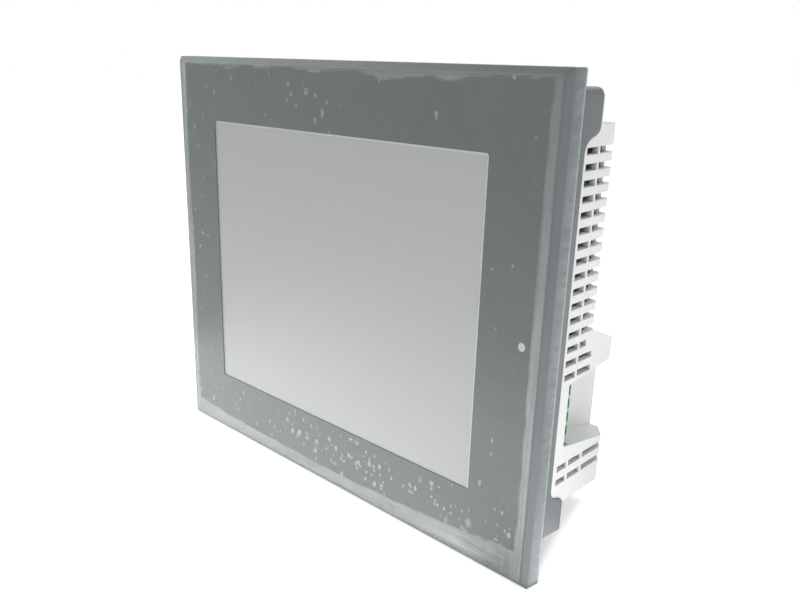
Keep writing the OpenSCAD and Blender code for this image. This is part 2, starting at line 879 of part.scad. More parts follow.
// A flat chip on the main board
module chip(x, z, w, h, t) {
    block([x - w / 2, main_back, z - h / 2], [x + w / 2, main_back + t, z + h / 2]);
}

module main_chips() {
    color("#232526") {
        chip(cpu_x, cpu_z, cpu_w, cpu_w, chip_t);
        for (i = [0:1]) chip(ram_x + ram_pitch * i, ram_z, ram_w, ram_h, ram_t);
        for (i = [0:2]) chip(flash_x + flash_pitch * i, flash_z, flash_w, flash_h, logic_t);
        for (i = [0:3]) chip(logic_x + logic_pitch * i, logic_z, logic_w, logic_h, logic_t);
    }
}

module heat_sink() {
    base_y = main_back + chip_t;
    step = (sink_w - sink_fin_t) / (sink_fins - 1);
    color("#8f9598") {
        block([cpu_x - sink_w / 2, base_y, cpu_z - sink_w / 2],
            [cpu_x + sink_w / 2, base_y + sink_base, cpu_z + sink_w / 2]);
        for (i = [0:sink_fins - 1]) let (x = cpu_x - sink_w / 2 + i * step)
            block([x, base_y + sink_base - eps, cpu_z - sink_w / 2],
                [x + sink_fin_t, base_y + sink_h, cpu_z + sink_w / 2]);
    }
}

module battery_holder() {
    wall_r = battery_r + battery_wall;
    color("#26282a") difference() {
        rod_y(battery_x, battery_z, wall_r, main_back, main_back + battery_wall + battery_t);
        rod_y(battery_x, battery_z, battery_r + 0.2, main_back + battery_wall, far);
        block([battery_x - 4, main_back + battery_wall, battery_z],
            [battery_x + 4, far, battery_z + far]);
    }
}

module backup_cell() {
    from = main_back + battery_wall;
    color("#cfd1d0") rod_y(battery_x, battery_z, battery_r, from, from + battery_t);
}

module buzzer() {
    color("#1e2021") difference() {
        rod_y(buzzer_x, buzzer_z, buzzer_r, main_back, main_back + buzzer_h);
        rod_y(buzzer_x, buzzer_z, 1, main_back + buzzer_h - 2, far);
    }
}

// Flat cable from the display to the main board
ribbon_w = 30;
ribbon_t = 0.5;
ribbon_x = -30;
ribbon_z = -48;

module display_ribbon() {
    color("#d9d4c6") block([ribbon_x - ribbon_w / 2, chassis_y, ribbon_z],
        [ribbon_x + ribbon_w / 2, main_y, ribbon_z + ribbon_t]);
}

module inverter_board() {
    color("#2f6b45") board(inverter_x - inverter_w / 2, inverter_x + inverter_w / 2,
        inverter_z - inverter_d / 2, inverter_z + inverter_d / 2,
        chassis_y + chassis_t + inverter_h, inverter_spots);
}

module inverter_transformer() {
    from = chassis_y + chassis_t + inverter_h + pcb_t;
    color("#8a5a2b") difference() {
        translate([inverter_x - core_w / 2, from, inverter_z - core_d / 2])
            cube([core_w, core_h, core_d]);
        for (s = [-1, 1]) translate([inverter_x + s * core_w / 4, from + core_h, inverter_z])
            cube([core_groove_w, 2 * core_groove_d, far], center = true);
    }
}

module expansion_sockets() {
    wall = 1.2;
    color("#e4e2da") for (s = [-1, 1]) translate([s * expansion_x, main_back, hatch_z])
        difference() {
            translate([-expansion_w / 2, 0, -expansion_d / 2])
                cube([expansion_w, expansion_h, expansion_d]);
            translate([wall - expansion_w / 2, 4, wall - expansion_d / 2])
                cube([expansion_w - 2 * wall, expansion_h, expansion_d - 2 * wall]);
        }
}

module io_spacers() {
    color("#c2a14e") for (s = io_spots) spacer(s[0], s[1], main_back, io_y);
}

module io_board() {
    color("#2f6b45") board(io_left, io_right, io_bottom, io_top, io_y, io_spots);
}

module io_screws() {
    color("#c8cacb") for (s = io_spots)
        pan_screw(s[0], s[1], io_back, board_screw_l, small_screw_r, small_head_r, small_head_t);
}

// Board-to-board connector between main board and connector board
module board_link() {
    color("#26282a") block([link_x - link_w / 2, main_back, link_z - link_h / 2],
        [link_x + link_w / 2, io_y, link_z + link_h / 2]);
}

module power_spacers() {
    color("#c2a14e") for (s = power_spots) spacer(s[0], s[1], io_back, power_y);
}

module power_board() {
    color("#2f6b45") board(power_left, power_right, power_bottom, power_top, power_y, power_spots);
}

module power_screws() {
    color("#c8cacb") for (s = power_spots)
        pan_screw(s[0], s[1], power_y + pcb_t, board_screw_l, small_screw_r, small_head_r,
            small_head_t);
}

module power_capacitors() {
    color("#2c3b57") for (i = [0:2])
        rod_y(cap_x + cap_pitch * i, power_top - cap_drop, cap_r, power_y - cap_l, power_y);
}

module power_inductor() {
    foot = power_top - choke_drop;
    color("#3a3d3f") difference() {
        translate([choke_x, power_y - choke_h, foot]) cube([choke_w, choke_h, choke_w]);
        rod_y(choke_x + choke_w / 2, foot + choke_w / 2, choke_bore_r, 0, power_y - choke_floor);
    }
}

// Connectors in the downward wall

// D-shaped outline of the serial port, centred
module d_outline(grow) {
    top = 8.5 + grow;
    foot = 7.2 + grow;
    half = 4.2 + grow;
    polygon([[-foot, -half], [foot, -half], [top, half], [-top, half]]);
}

module serial_port_shell() {
    color("#bfc3c4") translate([serial_x, serial_y, 0]) {
        difference() {
            block([-serial_flange_w / 2, -serial_flange_d / 2, connector_wall_in],
                [serial_flange_w / 2, serial_flange_d / 2, connector_wall_in + serial_sheet]);
            translate([0, 0, connector_wall_in - 1]) linear_extrude(serial_sheet + 2) d_outline(-0.5);
            for (s = [-1, 1])
                rod_z(s * lock_spacing / 2, 0, lock_shank_r + screw_play, connector_wall_in - 1,
                    connector_wall_in + 4);
        }
        difference() {
            translate([0, 0, deep_bottom - serial_shell_l])
                linear_extrude(connector_wall_in - deep_bottom + serial_shell_l + eps) d_outline(0);
            translate([0, 0, deep_bottom - serial_shell_l - 1]) linear_extrude(far) d_outline(-0.5);
        }
    }
}

module serial_port_body() {
    from = connector_wall_in + serial_sheet;
    color("#1f2122") translate([serial_x, serial_y, 0]) {
        translate([0, 0, serial_floor]) linear_extrude(from - serial_floor + eps) d_outline(-0.6);
        block([-serial_body_w / 2, io_back - serial_y, from],
            [serial_body_w / 2, serial_body_d / 2 - 1, from + serial_body_l]);
    }
}

module serial_port_pins() {
    pitch = 2.77;
    row = 1.42;
    color("#d8b45a") translate([serial_x, serial_y, 0]) {
        for (i = [0:4])
            rod_z((i - 2) * pitch, row, serial_pin_r, serial_floor - serial_pin_l, serial_floor);
        for (i = [0:3])
            rod_z((i - 1.5) * pitch, -row, serial_pin_r, serial_floor - serial_pin_l, serial_floor);
    }
}

module serial_lock_screws() {
    color("#c4c7c8") for (s = [-1, 1]) translate([serial_x + s * lock_spacing / 2, serial_y, 0])
        difference() {
            union() {
                translate([0, 0, deep_bottom - lock_l])
                    cylinder(r = lock_hex_r, h = lock_l, $fn = 6);
                rod_z(0, 0, lock_shank_r, deep_bottom - 1, connector_wall_in + 3);
            }
            rod_z(0, 0, lock_hole_d / 2, deep_bottom - lock_l - 1, deep_bottom);
        }
}

// An eight-pole jack whose mouth faces down
module modular_jack(x) {
    y0 = io_back;
    mouth_y = y0 + (jack_d - jack_mouth_d) / 2 + 0.6;
    difference() {
        block([x - jack_w / 2, y0, port_face], [x + jack_w / 2, y0 + jack_d, port_face + jack_l]);
        block([x - jack_mouth_w / 2, mouth_y, port_face - 1],
            [x + jack_mouth_w / 2, mouth_y + jack_mouth_d, port_face + jack_mouth_l]);
        block([x - jack_latch_w / 2, mouth_y - jack_latch_d, port_face - 1],
            [x + jack_latch_w / 2, mouth_y + eps, port_face + jack_mouth_l]);
    }
}

module serial_jack() {
    color("#2a2c2e") modular_jack(serial_jack_x);
}

module network_jack() {
    color("#b4b9bb") modular_jack(network_jack_x);
}

module usb_shells() {
    color("#c4c7c8") for (x = usb_xs) difference() {
        block([x - usb_w / 2, io_back, port_face], [x + usb_w / 2, io_back + usb_d, port_face + usb_l]);
        block([x - usb_w / 2 + usb_sheet, io_back + usb_sheet, port_face - 1],
            [x + usb_w / 2 - usb_sheet, io_back + usb_d - usb_sheet, port_face + usb_l - usb_sheet]);
    }
}

module usb_tongues() {
    tongue_y = io_back + usb_d - usb_sheet - 0.4 - usb_tongue_t;
    tip = 1.5;
    heel = 3;
    color("#e9e9e4") for (x = usb_xs) {
        block([x - usb_tongue_w / 2, tongue_y, port_face + tip],
            [x + usb_tongue_w / 2, tongue_y + usb_tongue_t, port_face + usb_l - usb_sheet]);
        block([x - usb_w / 2 + usb_sheet, io_back + usb_sheet, port_face + usb_l - usb_sheet - heel],
            [x + usb_w / 2 - usb_sheet, io_back + usb_d - usb_sheet, port_face + usb_l - usb_sheet]);
    }
}

// Supply header on the connector board and the plug that hangs from it

power_y0 = io_back;
power_mouth_w = power_header_w - 2 * power_header_wall;
power_mouth_d = power_header_d - 2 * power_header_wall;
power_mouth_top = port_face + power_neck_l + plug_play;
power_neck_w = power_mouth_w - 2 * plug_play;
power_neck_d = power_mouth_d - 2 * plug_play;
power_neck_y = power_y0 + power_header_wall + plug_play;

module power_header() {
    half = power_header_w / 2;
    color("#2f8f4e") difference() {
        block([power_x - half, power_y0, port_face],
            [power_x + half, power_y0 + power_header_d, port_face + power_header_l]);
        block([power_x - power_mouth_w / 2, power_y0 + power_header_wall, port_face - 1],
            [power_x + power_mouth_w / 2, power_y0 + power_header_wall + power_mouth_d,
                power_mouth_top]);
    }
}

power_grip_y = power_y0 + 0.4;
power_grip_d = power_header_d + 1;
power_grip_top = port_face - plug_play;
power_grip_bottom = power_grip_top - power_grip_l;

module power_plug() {
    entry = [3.6, 4.2];
    half = power_header_w / 2 - 0.2;
    color("#35a058") difference() {
        union() {
            block([power_x - power_neck_w / 2, power_neck_y, power_grip_top - eps],
                [power_x + power_neck_w / 2, power_neck_y + power_neck_d, port_face + power_neck_l]);
            block([power_x - half, power_grip_y, power_grip_bottom],
                [power_x + half, power_grip_y + power_grip_d, power_grip_top]);
        }
        for (i = [0:power_poles - 1]) let (x = power_x + (i - (power_poles - 1) / 2) * power_pitch) {
            block([x - entry[0] / 2, power_grip_y + 2, power_grip_bottom - 1],
                [x + entry[0] / 2, power_grip_y + 2 + entry[1], power_grip_bottom + 7]);
            rod_y(x, power_grip_top - power_grip_l / 2, 1.8, power_grip_y + 5, far);
        }
    }
}

module power_clamp_screws() {
    z = power_grip_top - power_grip_l / 2;
    head_y = power_grip_y + power_grip_d - 2;
    color("#c8cacb") for (i = [0:power_poles - 1])
        let (x = power_x + (i - (power_poles - 1) / 2) * power_pitch) {
            difference() {
                rod_y(x, z, 1.7, power_grip_y + 5, head_y);
                translate([x, head_y, z]) cube([4, 1.2, 0.7], center = true);
            }
        }
}

// Side header on the main board and its plug in the recess

aux_mouth_w = aux_w - 2 * aux_header_wall;
aux_mouth_len = aux_header_len - 2 * aux_header_wall;
aux_neck_y = aux_header_back - aux_neck_l;

module aux_header() {
    half = aux_header_len / 2;
    color("#2f8f4e") difference() {
        block([aux_x - aux_w / 2, main_back, aux_z - half],
            [aux_x + aux_w / 2, aux_header_back, aux_z + half]);
        block([aux_x - aux_mouth_w / 2, aux_neck_y - plug_play, aux_z - aux_mouth_len / 2],
            [aux_x + aux_mouth_w / 2, far, aux_z + aux_mouth_len / 2]);
    }
}

module aux_plug() {
    half = aux_len / 2;
    from = aux_header_back + plug_play;
    neck_half = aux_mouth_w / 2 - plug_play;
    entry_w = aux_pitch - aux_entry_rib;
    entry_y = aux_plug_back - aux_entry_wall - aux_entry_d;
    entry_x = aux_x + aux_w / 2 - aux_entry_l;
    color("#3fae63") difference() {
        union() {
            block([aux_x - neck_half, aux_neck_y, aux_z - aux_mouth_len / 2 + plug_play],
                [aux_x + neck_half, from + eps, aux_z + aux_mouth_len / 2 - plug_play]);
            block([aux_x - aux_w / 2, from, aux_z - half],
                [aux_x + aux_w / 2, aux_plug_back, aux_z + half]);
        }
        for (i = [0:aux_poles - 1]) let (z = aux_z + (i - (aux_poles - 1) / 2) * aux_pitch) {
            block([entry_x, entry_y, z - entry_w / 2],
                [aux_x + aux_w, entry_y + aux_entry_d, z + entry_w / 2]);
            rod_y(aux_screw_x, z, aux_screw_r + aux_screw_play, from + 1, far);
        }
    }
}

module aux_clamp_screws() {
    from = aux_header_back + plug_play + 1;
    head_y = aux_plug_back - 1;
    color("#c8cacb") for (i = [0:aux_poles - 1])
        let (z = aux_z + (i - (aux_poles - 1) / 2) * aux_pitch) {
            difference() {
                rod_y(aux_screw_x, z, aux_screw_r, from, head_y);
                translate([aux_screw_x, head_y, z])
                    cube([2.5 * aux_screw_r, 0.8, 0.5], center = true);
            }
        }
}

// Memory card socket, ejector and hinged cover in the left wall

module card_socket() {
    color("#3a3d40") difference() {
        block([socket_left, io_back, socket_bottom], [socket_right, socket_back, socket_top]);
        block([socket_left - 1, card_y, card_bottom],
            [socket_left + card_depth, card_y + card_h, card_bottom + card_w]);
        block([socket_left - 1, card_y, eject_bottom],
            [socket_left + eject_len + eject_travel + 1, card_y + eject_size + 2 * eject_play,
                eject_bottom + eject_size + 2 * eject_play]);
    }
}

module card_eject_button() {
    y0 = card_y + eject_play;
    z0 = eject_bottom + eject_play;
    color("#d5d7d6") block([socket_left - eject_out, y0, z0],
        [socket_left - eject_out + eject_len, y0 + eject_size, z0 + eject_size]);
}

// The left wall's own frame: x goes inwards from its face, y rearwards along it
module left_wall() {
    translate([-wall_x(card_hinge_y), card_hinge_y, card_cover_z]) rotate([0, 0, -lean]) children();
}

module card_cover() {
    t = card_cover_t;
    half = card_cover_h / 2;
    scoop = [0.9, 1.8, 10];
    color("#d9dcdb") left_wall() difference() {
        union() {
            block([0, 0, -half], [t, card_cover_w, half]);
            rod_z(t / 2, 0, t / 2, -half, half);
        }
        rod_z(t / 2, 0, hinge_pin_d / 2 + hinge_play, -half - 1, half + 1);
        block([-1, card_cover_w - scoop[1], -scoop[2] / 2], [scoop[0], card_cover_w + 1, scoop[2] / 2]);
    }
}

module card_cover_pin() {
    half = card_cover_h / 2 + hinge_seat;
    color("#c8cacb") left_wall() rod_z(card_cover_t / 2, 0, hinge_pin_d / 2, -half, half);
}

// Rear cover: stepped and leaning shell with wrap-round slots and a side recess

module zone(z0, z1, y0, y1, edge, inset) {
    translate([0, 0, z0]) linear_extrude(z1 - z0) polygon(zone_plan(y0, y1, edge, inset));
}

// The deep half under its falling top face, shrunk by inset
module deep_zone(back, inset) {
    foot = deep_bottom + inset;
    intersection() {
        zone(foot, deep_top + far / 10, ear_y, back, deep_edge, inset);
        bar(-far, far) polygon([[ear_y, foot], [far / 4, foot],
            [far / 4, ramp_z(far / 4) - inset], [ear_y, ramp_z(ear_y) - inset]]);
    }
}

module cover_outer() {
    strip_edge = 0.6;
    difference() {
        intersection() {
            union() {
                zone(deep_bottom, shoulder_z, band_y, shallow_y, shallow_edge, 0);
                deep_zone(deep_y, 0);
                zone(shoulder_z - eps, cover_top, ear_y, top_strip_y, strip_edge, 0);
                zone(cover_bottom, deep_bottom + eps, ear_y, tail_y, strip_edge, 0);
            }
            slab(0, far) body_rect(body_w, cover_top - cover_bottom, cover_r, lower_corner_cut);
        }
        translate([0, parting_gap, 0]) bar(-far, far) skirt_profile();
    }
}

module cover_inner() {
    w = cover_wall;
    zone(deep_bottom + w, shoulder_z - w, 0, shallow_y - w, shallow_edge, w);
    deep_zone(deep_y - w, w);
    zone(shoulder_z - w - eps, cover_top - w, 0, top_strip_y - w, eps, w);
}

// The recess in side view, grown by a wall where one is wanted
module recess_profile(grow, floor_t) {
    y0 = recess_y - floor_t;
    run = far - y0;
    polygon([
        [y0, recess_top + grow], [y0, recess_bottom - grow],
        [far, recess_bottom - grow - recess_fall * run],
        [far, recess_top + grow + recess_draft * run]]);
}

function slot_top(i) = body_top - slot_drop - i * slot_pitch;

// One upper slot on the right side, counted from the top
module side_slot(i, wraps) {
    top = slot_top(i);
    rear_y = slot_y + slot_len + slot_rib;
    skin = body_w / 2 - slot_wrap;
    closed_len = top > deep_top - slot_pitch ? slot_short_len : slot_rear_len;
    block([skin, slot_y, top - slot_h], [far, slot_y + slot_len, top]);
    block([skin, rear_y, top - slot_h], [far, wraps ? far : rear_y + closed_len, top]);
}

module side_slots() {
    for (i = [0:slot_count - 1])
        let (wraps = slot_top(i) - slot_h > deep_top) {
            side_slot(i, wraps);
            if (wraps) mirror([1, 0, 0]) side_slot(i, wraps);
        }
}

// Two rows of three openings below the recess, the last one round the corner
module low_slots() {
    second_y = low_slot_y + low_slot_len + low_slot_rib;
    third_y = second_y + low_slot_mid_len + low_slot_rib;
    openings = [[low_slot_y, low_slot_y + low_slot_len], [second_y, second_y + low_slot_mid_len],
        [third_y, far]];
    for (row = [0:1], o = openings)
        let (top = body_bottom + low_slot_rise - row * low_slot_pitch)
            block([body_w / 2 - low_slot_wrap, o[0], top - slot_h], [far, o[1], top]);
}

module shoulder_vents() {
    margin = 1.8;
    for (i = [0:shoulder_slots - 1])
        let (x = (i - (shoulder_slots - 1) / 2) * shoulder_pitch)
            block([x - shoulder_slot_w / 2, top_strip_y + margin, shoulder_z - cover_wall - 1],
                [x + shoulder_slot_w / 2, shallow_y - cover_wall - margin + 1, shoulder_z + 1]);
}

// Openings for the connectors that face down
module port_openings() {
    p = port_play;
    z0 = deep_bottom - 1;
    z1 = connector_wall_in + 1;
    for (x = [serial_jack_x, network_jack_x])
        block([x - jack_w / 2 - p, io_back - p, z0], [x + jack_w / 2 + p, io_back + jack_d + p, z1]);
    for (x = usb_xs)
        block([x - usb_w / 2 - p, io_back - p, z0], [x + usb_w / 2 + p, io_back + usb_d + p, z1]);
    block([power_x - power_header_w / 2 - p, power_y0 - p, z0],
        [power_x + power_header_w / 2 + p, power_y0 + power_header_d + p, z1]);
    translate([serial_x, serial_y, z0]) {
        linear_extrude(z1 - z0) d_outline(p);
        for (s = [-1, 1]) rod_z(s * lock_spacing / 2, 0, lock_shank_r + screw_play, 0, z1 - z0);
    }
}

module card_cover_opening() {
    p = card_cover_play;
    half = card_cover_h / 2;
    t = card_cover_t;
    left_wall() {
        block([-2, -t / 2 - p, -half - p], [t + 1, card_cover_w + p, half + p]);
        rod_z(t / 2, 0, hinge_pin_d / 2 + 0.02, -half - hinge_seat, half + hinge_seat);
    }
}

// Tongue that slips inside the front case's side band
module side_lip() {
    lip_t = 1.2;
    lip_play = 0.1;
    reach = 2;
    lip_upper = [10, 52];
    lip_lower = [-50, -4];
    outer = in_x - lip_play;
    for (z = [lip_upper, lip_lower], s = [0, 1]) mirror([s, 0, 0]) {
        block([outer - lip_t, band_y - reach, z[0]], [outer, band_y + parting_gap + eps, z[1]]);
        block([outer - lip_t, band_y + parting_gap, z[0]],
            [wall_x(band_y) - cover_wall / 2, slot_y - 0.6, z[1]]);
    }
}

module rear_cover() {
    strip = cover_wall;
    color("#dfe2e1") difference() {
        union() {
            difference() {
                cover_outer();
                cover_inner();
            }
            intersection() {
                bar(recess_x - cover_wall, far) recess_profile(cover_wall, recess_floor);
                cover_outer();
            }
            for (s = cover_spots)
                rod_y(s[0], s[1], cover_boss_r, ear_y, s[1] > 0 ? top_strip_y : tail_y);
            side_lip();
        }
        bar(recess_x, far) recess_profile(0, 0);
        block([recess_x + notch_inset, recess_y, recess_bottom - cover_wall - recess_floor],
            [wall_x(recess_y + recess_notch) - notch_skin, recess_y + recess_notch, recess_bottom]);
        side_slots();
        low_slots();
        shoulder_vents();
        port_openings();
        card_cover_opening();
        block([aux_x - aux_w / 2 - port_play, main_back, aux_z - aux_header_len / 2 - port_play],
            [aux_x + aux_w / 2 + port_play, recess_y + 1, aux_z + aux_header_len / 2 + port_play]);
        block([-hatch_w / 2, shallow_y - strip - 1, hatch_z - hatch_h / 2],
            [hatch_w / 2, shallow_y + 1, hatch_z + hatch_h / 2]);
        for (s = cover_spots) rod_y(s[0], s[1], cover_screw_r + screw_play, 0, far);
    }
}

module cover_screws() {
    color("#b9bdbe") for (s = cover_spots)
        pan_screw(s[0], s[1], s[1] > 0 ? top_strip_y : tail_y, cover_screw_l, cover_screw_r,
            cover_head_r, cover_head_t);
}

module expansion_cover() {
    play = 0.25;
    rim_t = 1.6;
    rim_l = 4;
    rim_w = hatch_w - 2 * play;
    rim_h = hatch_h - 2 * play;
    grip = [30, 1, 2];
    color("#d9dcdb") translate([0, 0, hatch_z]) difference() {
        union() {
            slab(shallow_y, shallow_y + hatch_t)
                round_rect(hatch_w + 2 * hatch_lap, hatch_h + 2 * hatch_lap, 2);
            slab(shallow_y - rim_l, shallow_y + eps) difference() {
                square([rim_w, rim_h], center = true);
                square([rim_w - 2 * rim_t, rim_h - 2 * rim_t], center = true);
            }
        }
        for (i = [-1:1]) translate([0, shallow_y + hatch_t, i * 5 - hatch_h / 2 + 8])
            cube([grip[0], 2 * grip[1], grip[2]], center = true);
    }
}

front_case();
panel_gasket();
overlay_sheet();
protective_film();
touch_film();
touch_glass();
touch_foam();
touch_tail();
status_light_pipe();
status_led();
display_frame();
display_cell();
light_guide();
back_light_tube();
display_tray();
chassis_plate();
chassis_screws();
board_spacers();
main_board();
main_board_screws();
main_chips();
heat_sink();
battery_holder();
backup_cell();
buzzer();
display_ribbon();
inverter_board();
inverter_transformer();
expansion_sockets();
io_spacers();
io_board();
io_screws();
board_link();
power_spacers();
power_board();
power_screws();
power_capacitors();
power_inductor();
serial_port_shell();
serial_port_body();
serial_port_pins();
serial_lock_screws();
serial_jack();
network_jack();
usb_shells();
usb_tongues();
power_header();
power_plug();
power_clamp_screws();
aux_header();
aux_plug();
aux_clamp_screws();
card_socket();
card_eject_button();
card_cover();
card_cover_pin();
rear_cover();
cover_screws();
expansion_cover();
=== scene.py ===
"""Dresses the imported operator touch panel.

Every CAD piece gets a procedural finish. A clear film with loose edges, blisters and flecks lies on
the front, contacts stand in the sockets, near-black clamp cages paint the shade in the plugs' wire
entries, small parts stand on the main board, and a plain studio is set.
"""
import json
import math

import bmesh
import bpy
import numpy as np
from mathutils import Matrix, Vector


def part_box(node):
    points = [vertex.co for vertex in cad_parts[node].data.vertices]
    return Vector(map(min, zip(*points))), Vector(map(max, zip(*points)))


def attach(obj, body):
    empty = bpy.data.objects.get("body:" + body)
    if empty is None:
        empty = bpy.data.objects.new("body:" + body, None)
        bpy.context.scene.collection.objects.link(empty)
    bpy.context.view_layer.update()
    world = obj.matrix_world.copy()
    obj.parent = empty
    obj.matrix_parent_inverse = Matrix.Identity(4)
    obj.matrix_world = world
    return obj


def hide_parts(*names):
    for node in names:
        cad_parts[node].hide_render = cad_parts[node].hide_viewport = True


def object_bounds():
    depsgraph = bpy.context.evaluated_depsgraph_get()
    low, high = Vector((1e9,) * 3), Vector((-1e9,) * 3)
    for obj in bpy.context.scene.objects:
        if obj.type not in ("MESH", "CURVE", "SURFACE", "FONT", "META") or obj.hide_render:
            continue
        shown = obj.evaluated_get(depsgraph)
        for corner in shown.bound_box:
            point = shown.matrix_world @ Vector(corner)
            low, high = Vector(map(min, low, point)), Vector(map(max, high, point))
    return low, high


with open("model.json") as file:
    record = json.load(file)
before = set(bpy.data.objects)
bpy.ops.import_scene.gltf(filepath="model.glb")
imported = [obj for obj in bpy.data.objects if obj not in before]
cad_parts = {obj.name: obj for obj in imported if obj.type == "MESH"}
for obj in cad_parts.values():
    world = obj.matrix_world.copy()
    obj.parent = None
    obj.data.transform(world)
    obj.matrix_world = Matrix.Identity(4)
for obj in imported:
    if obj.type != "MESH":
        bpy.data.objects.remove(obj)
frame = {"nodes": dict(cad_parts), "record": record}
CAD_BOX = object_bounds()

bl_info = {
    "name": "Operator Touch Panel",
    "version": (1, 0, 0),
    "blender": (4, 5, 0),
    "location": "View3D > Sidebar > Touch Panel",
    "description": "Finishes, film, contacts and studio for the packed operator touch panel",
    "category": "Object",
}

MM = 0.001
SOCKETS = {"specular": "Specular IOR Level", "ior": "IOR", "alpha": "Alpha", "metallic": "Metallic",
           "coat": "Coat Weight", "subsurface": "Subsurface Weight"}

# Places and sizes, in millimetres unless a comment says otherwise

# How far the touch film reaches past the window on every side
TOUCH_MARGIN = 9.0

# Painted shade in hollows: how far off their walls stand, and the open share at which they are still bright
MOULDED_SHADED_HOLLOWS = ((40, 0.2), (6, 0.5))
METAL_SHADED_HOLLOWS = ((10, 0.6),)
# Part of that open share at which a hollow's painted shade is darkest
DARKEST = 0.2

# Painted rim highlight and bevel light: distances inside the outline and places in depth, where each starts
# and where it is full
RIM_HIGHLIGHT_INSET = (0.6, 0.2)
SHEEN_DEPTH = (-6.0, -0.3)
EDGE_HIGHLIGHT_DEPTH = (-0.8, -0.5)
BEVEL_INSET = (3.0, 2.6)
BEVEL_DEPTH = (-4.6, -5.0)
# Painted light on the bevels fades from left to right between these places
BEVEL_LIGHT_FADE = (-100, 80)

# Borders of the matt screen, a pale line and painted shade: distances inside the window, from the outer end
# to the inner one
SCREEN_LINE_RIGHT = (0.5, 0.9)
SCREEN_LINE_TOP = (0.4, 0.8)
SCREEN_SHADE_LEFT = (0.4, 2.2)

# Gap from the print to the film, and the outermost strip over which the film's lift fades
FILM_GAP = 0.03
FILM_RIM = 2.5
# Width over which loose film turns into stuck film
FILM_BLEND = 0.7
# Stretch of the film's patterns, which keeps them the same through its lift
THROUGH = (1, 40, 1)
# Waves of the stuck edge: share of the wave size, length, and phase in radians
FINE_WAVES = ((0.5, 23, 0.4), (0.35, 9.5, 1.9), (0.25, 4.3, 0.7))
LEFT_WAVES = ((0.9, 95, 2.2), (0.3, 12, 0.2))
RIGHT_WAVES = ((0.6, 140, 0.5), (0.25, 17, 1.1))
# Dips of the stuck edge along the top: middle, width and depth
TOP_DIPS = ((-68, 7, 1.2), (-42, 6, 0.7), (-8, 7, 1.6), (33, 14, 2.7), (61, 6, 2.5))
# Rises of the stuck edge along the bottom: where each starts and ends, and its height at the end
BOTTOM_RISES = ((-10, 100, 5.9), (-38, -101, 2.9))
# Blisters: how steep their sides are, their haze as a share, and for each its middle in X and Z, half width,
# half height, and turn in radians
BLISTER_STEEPNESS = 1.5
BLISTER_HAZE = 0.9
BLISTERS = (
    (80.4, -69.6, 1.9, 2.4, 0.2), (91.7, -72.8, 2.2, 1.4, 0.1), (95.4, -72.4, 1.9, 1.0, 0.3),
    (85.4, -73.4, 1.4, 0.9, -0.4), (78.6, -73.2, 2.6, 1.0, -0.3), (69.3, -73.2, 1.1, 1.7, 0.0),
    (18.5, -59.1, 1.6, 1.6, 0.0), (29.0, -66.6, 0.9, 2.0, 0.1), (55.3, -62.0, 1.0, 1.3, 0.5),
    (33.6, -73.2, 1.2, 1.9, 0.2), (24.1, -73.3, 1.0, 1.1, 0.0), (15.2, -66.8, 1.1, 1.0, 0.3),
    (-64.8, 77.1, 1.0, 1.2, 0.0), (-25.4, 76.1, 0.8, 1.3, 0.2), (-13.9, 73.8, 1.6, 1.4, 0.0),
    (-4.3, 66.4, 1.0, 1.9, 0.1), (-23.5, 72.6, 0.9, 0.8, 0.0), (-101.2, 62.0, 1.1, 1.3, 0.0),
    (9.0, -70.0, 1.0, 1.6, 0.4), (-1.0, -68.4, 0.8, 1.2, -0.2), (4.5, -73.6, 1.3, 1.0, 0.1),
)

# Small parts of the main board: areas in X, span in Z, grid, room round larger parts, and seed of the draw
RIGHT_AREA = (70, 89)
LEFT_AREA = (-88, 60)
PART_SPAN = (-14, 46)
PART_GRID = np.array([2.54, 2.8])
PART_ROOM = 3
PART_SEED = 7
# Chips and screws to keep clear of: middle in X and Z, and half width
CHIPS = ((-15, 10, 17), (14, 14, 12), (28, 14, 12), (-66, 20, 11), (-48, 20, 11), (-30, 20, 11))
BOARD_SCREWS = tuple((x, z, 5) for x in (-80, 80) for z in (42, -1))

# Modular jacks: contacts that start off the back wall and above the mouth, and how far they run from there
JACK_CONTACTS = 8
JACK_PITCH = 1.02
JACK_WIRE = (0.42, 0.3)
JACK_START = (2.4, 9.4)
JACK_RUN = (2.6, 6.4)
# Angle of the sine at the contacts' ends in radians, and the points along one
JACK_BEND = 1.5
JACK_POINTS = 9

# USB ports: shell, tongue and contacts
USB_WIDTH = 13.4
USB_SHEET = 0.4
USB_GAP = 0.4
USB_TONGUE = 1.8
USB_WIRE = (1.1, 0.1)
USB_CONTACTS = np.array([-3.5, -1.0, 1.0, 3.5])
USB_CONTACT_ENDS = (0.8, 8.4)
USB_POINTS = 5

# Card socket: end wall from the mouth, side walls, half the card's width, and two rows of pins
CARD_WALL_X = 38
CARD_SHEET = 1.2
CARD_HALF = 21.5
CARD_PINS = 25
CARD_PITCH = 1.27
CARD_ROWS = (1.9, 3.3)
CARD_PIN = (4.0, 0.45, 0.45)

# Clamp cages of both plugs, painted shade in their entries: poles, pitch, size, and middle inside the plug's
# corner
SIDE_POLES = 4
SIDE_PITCH = 5
SIDE_CAGE = (4.6, 2.3, 3.3)
SIDE_CAGE_INSET = (2.28, 1.35)
SUPPLY_POLES = 3
SUPPLY_PITCH = 5.08
SUPPLY_CAGE = (3.3, 2.7, 6.0)
SUPPLY_CAGE_INSET = (3.5, 3.4)

# Hanging lamps, which face the part: place and width in metres
HANGING_LAMPS = {
    "key": ((-0.42, -0.36, 0.42), 0.5),
    "fill": ((0.75, -0.1, 0.95), 0.8),
    "front": ((0.62, -0.25, 0.42), 0.4),
    "back": ((-0.3, 0.8, 0.7), 0.8),
}
# Lit patches of the table, which face up: place and size in metres
TABLE_LAMPS = {
    "table": ((-0.068, -0.085), (0.305, 0.15)),
    "side": ((0.194, -0.1), (0.17, 0.28)),
    "rear": ((0.36, 0.34), (0.4, 0.5)),
}
TABLE_LAMP_RISE = 0.05

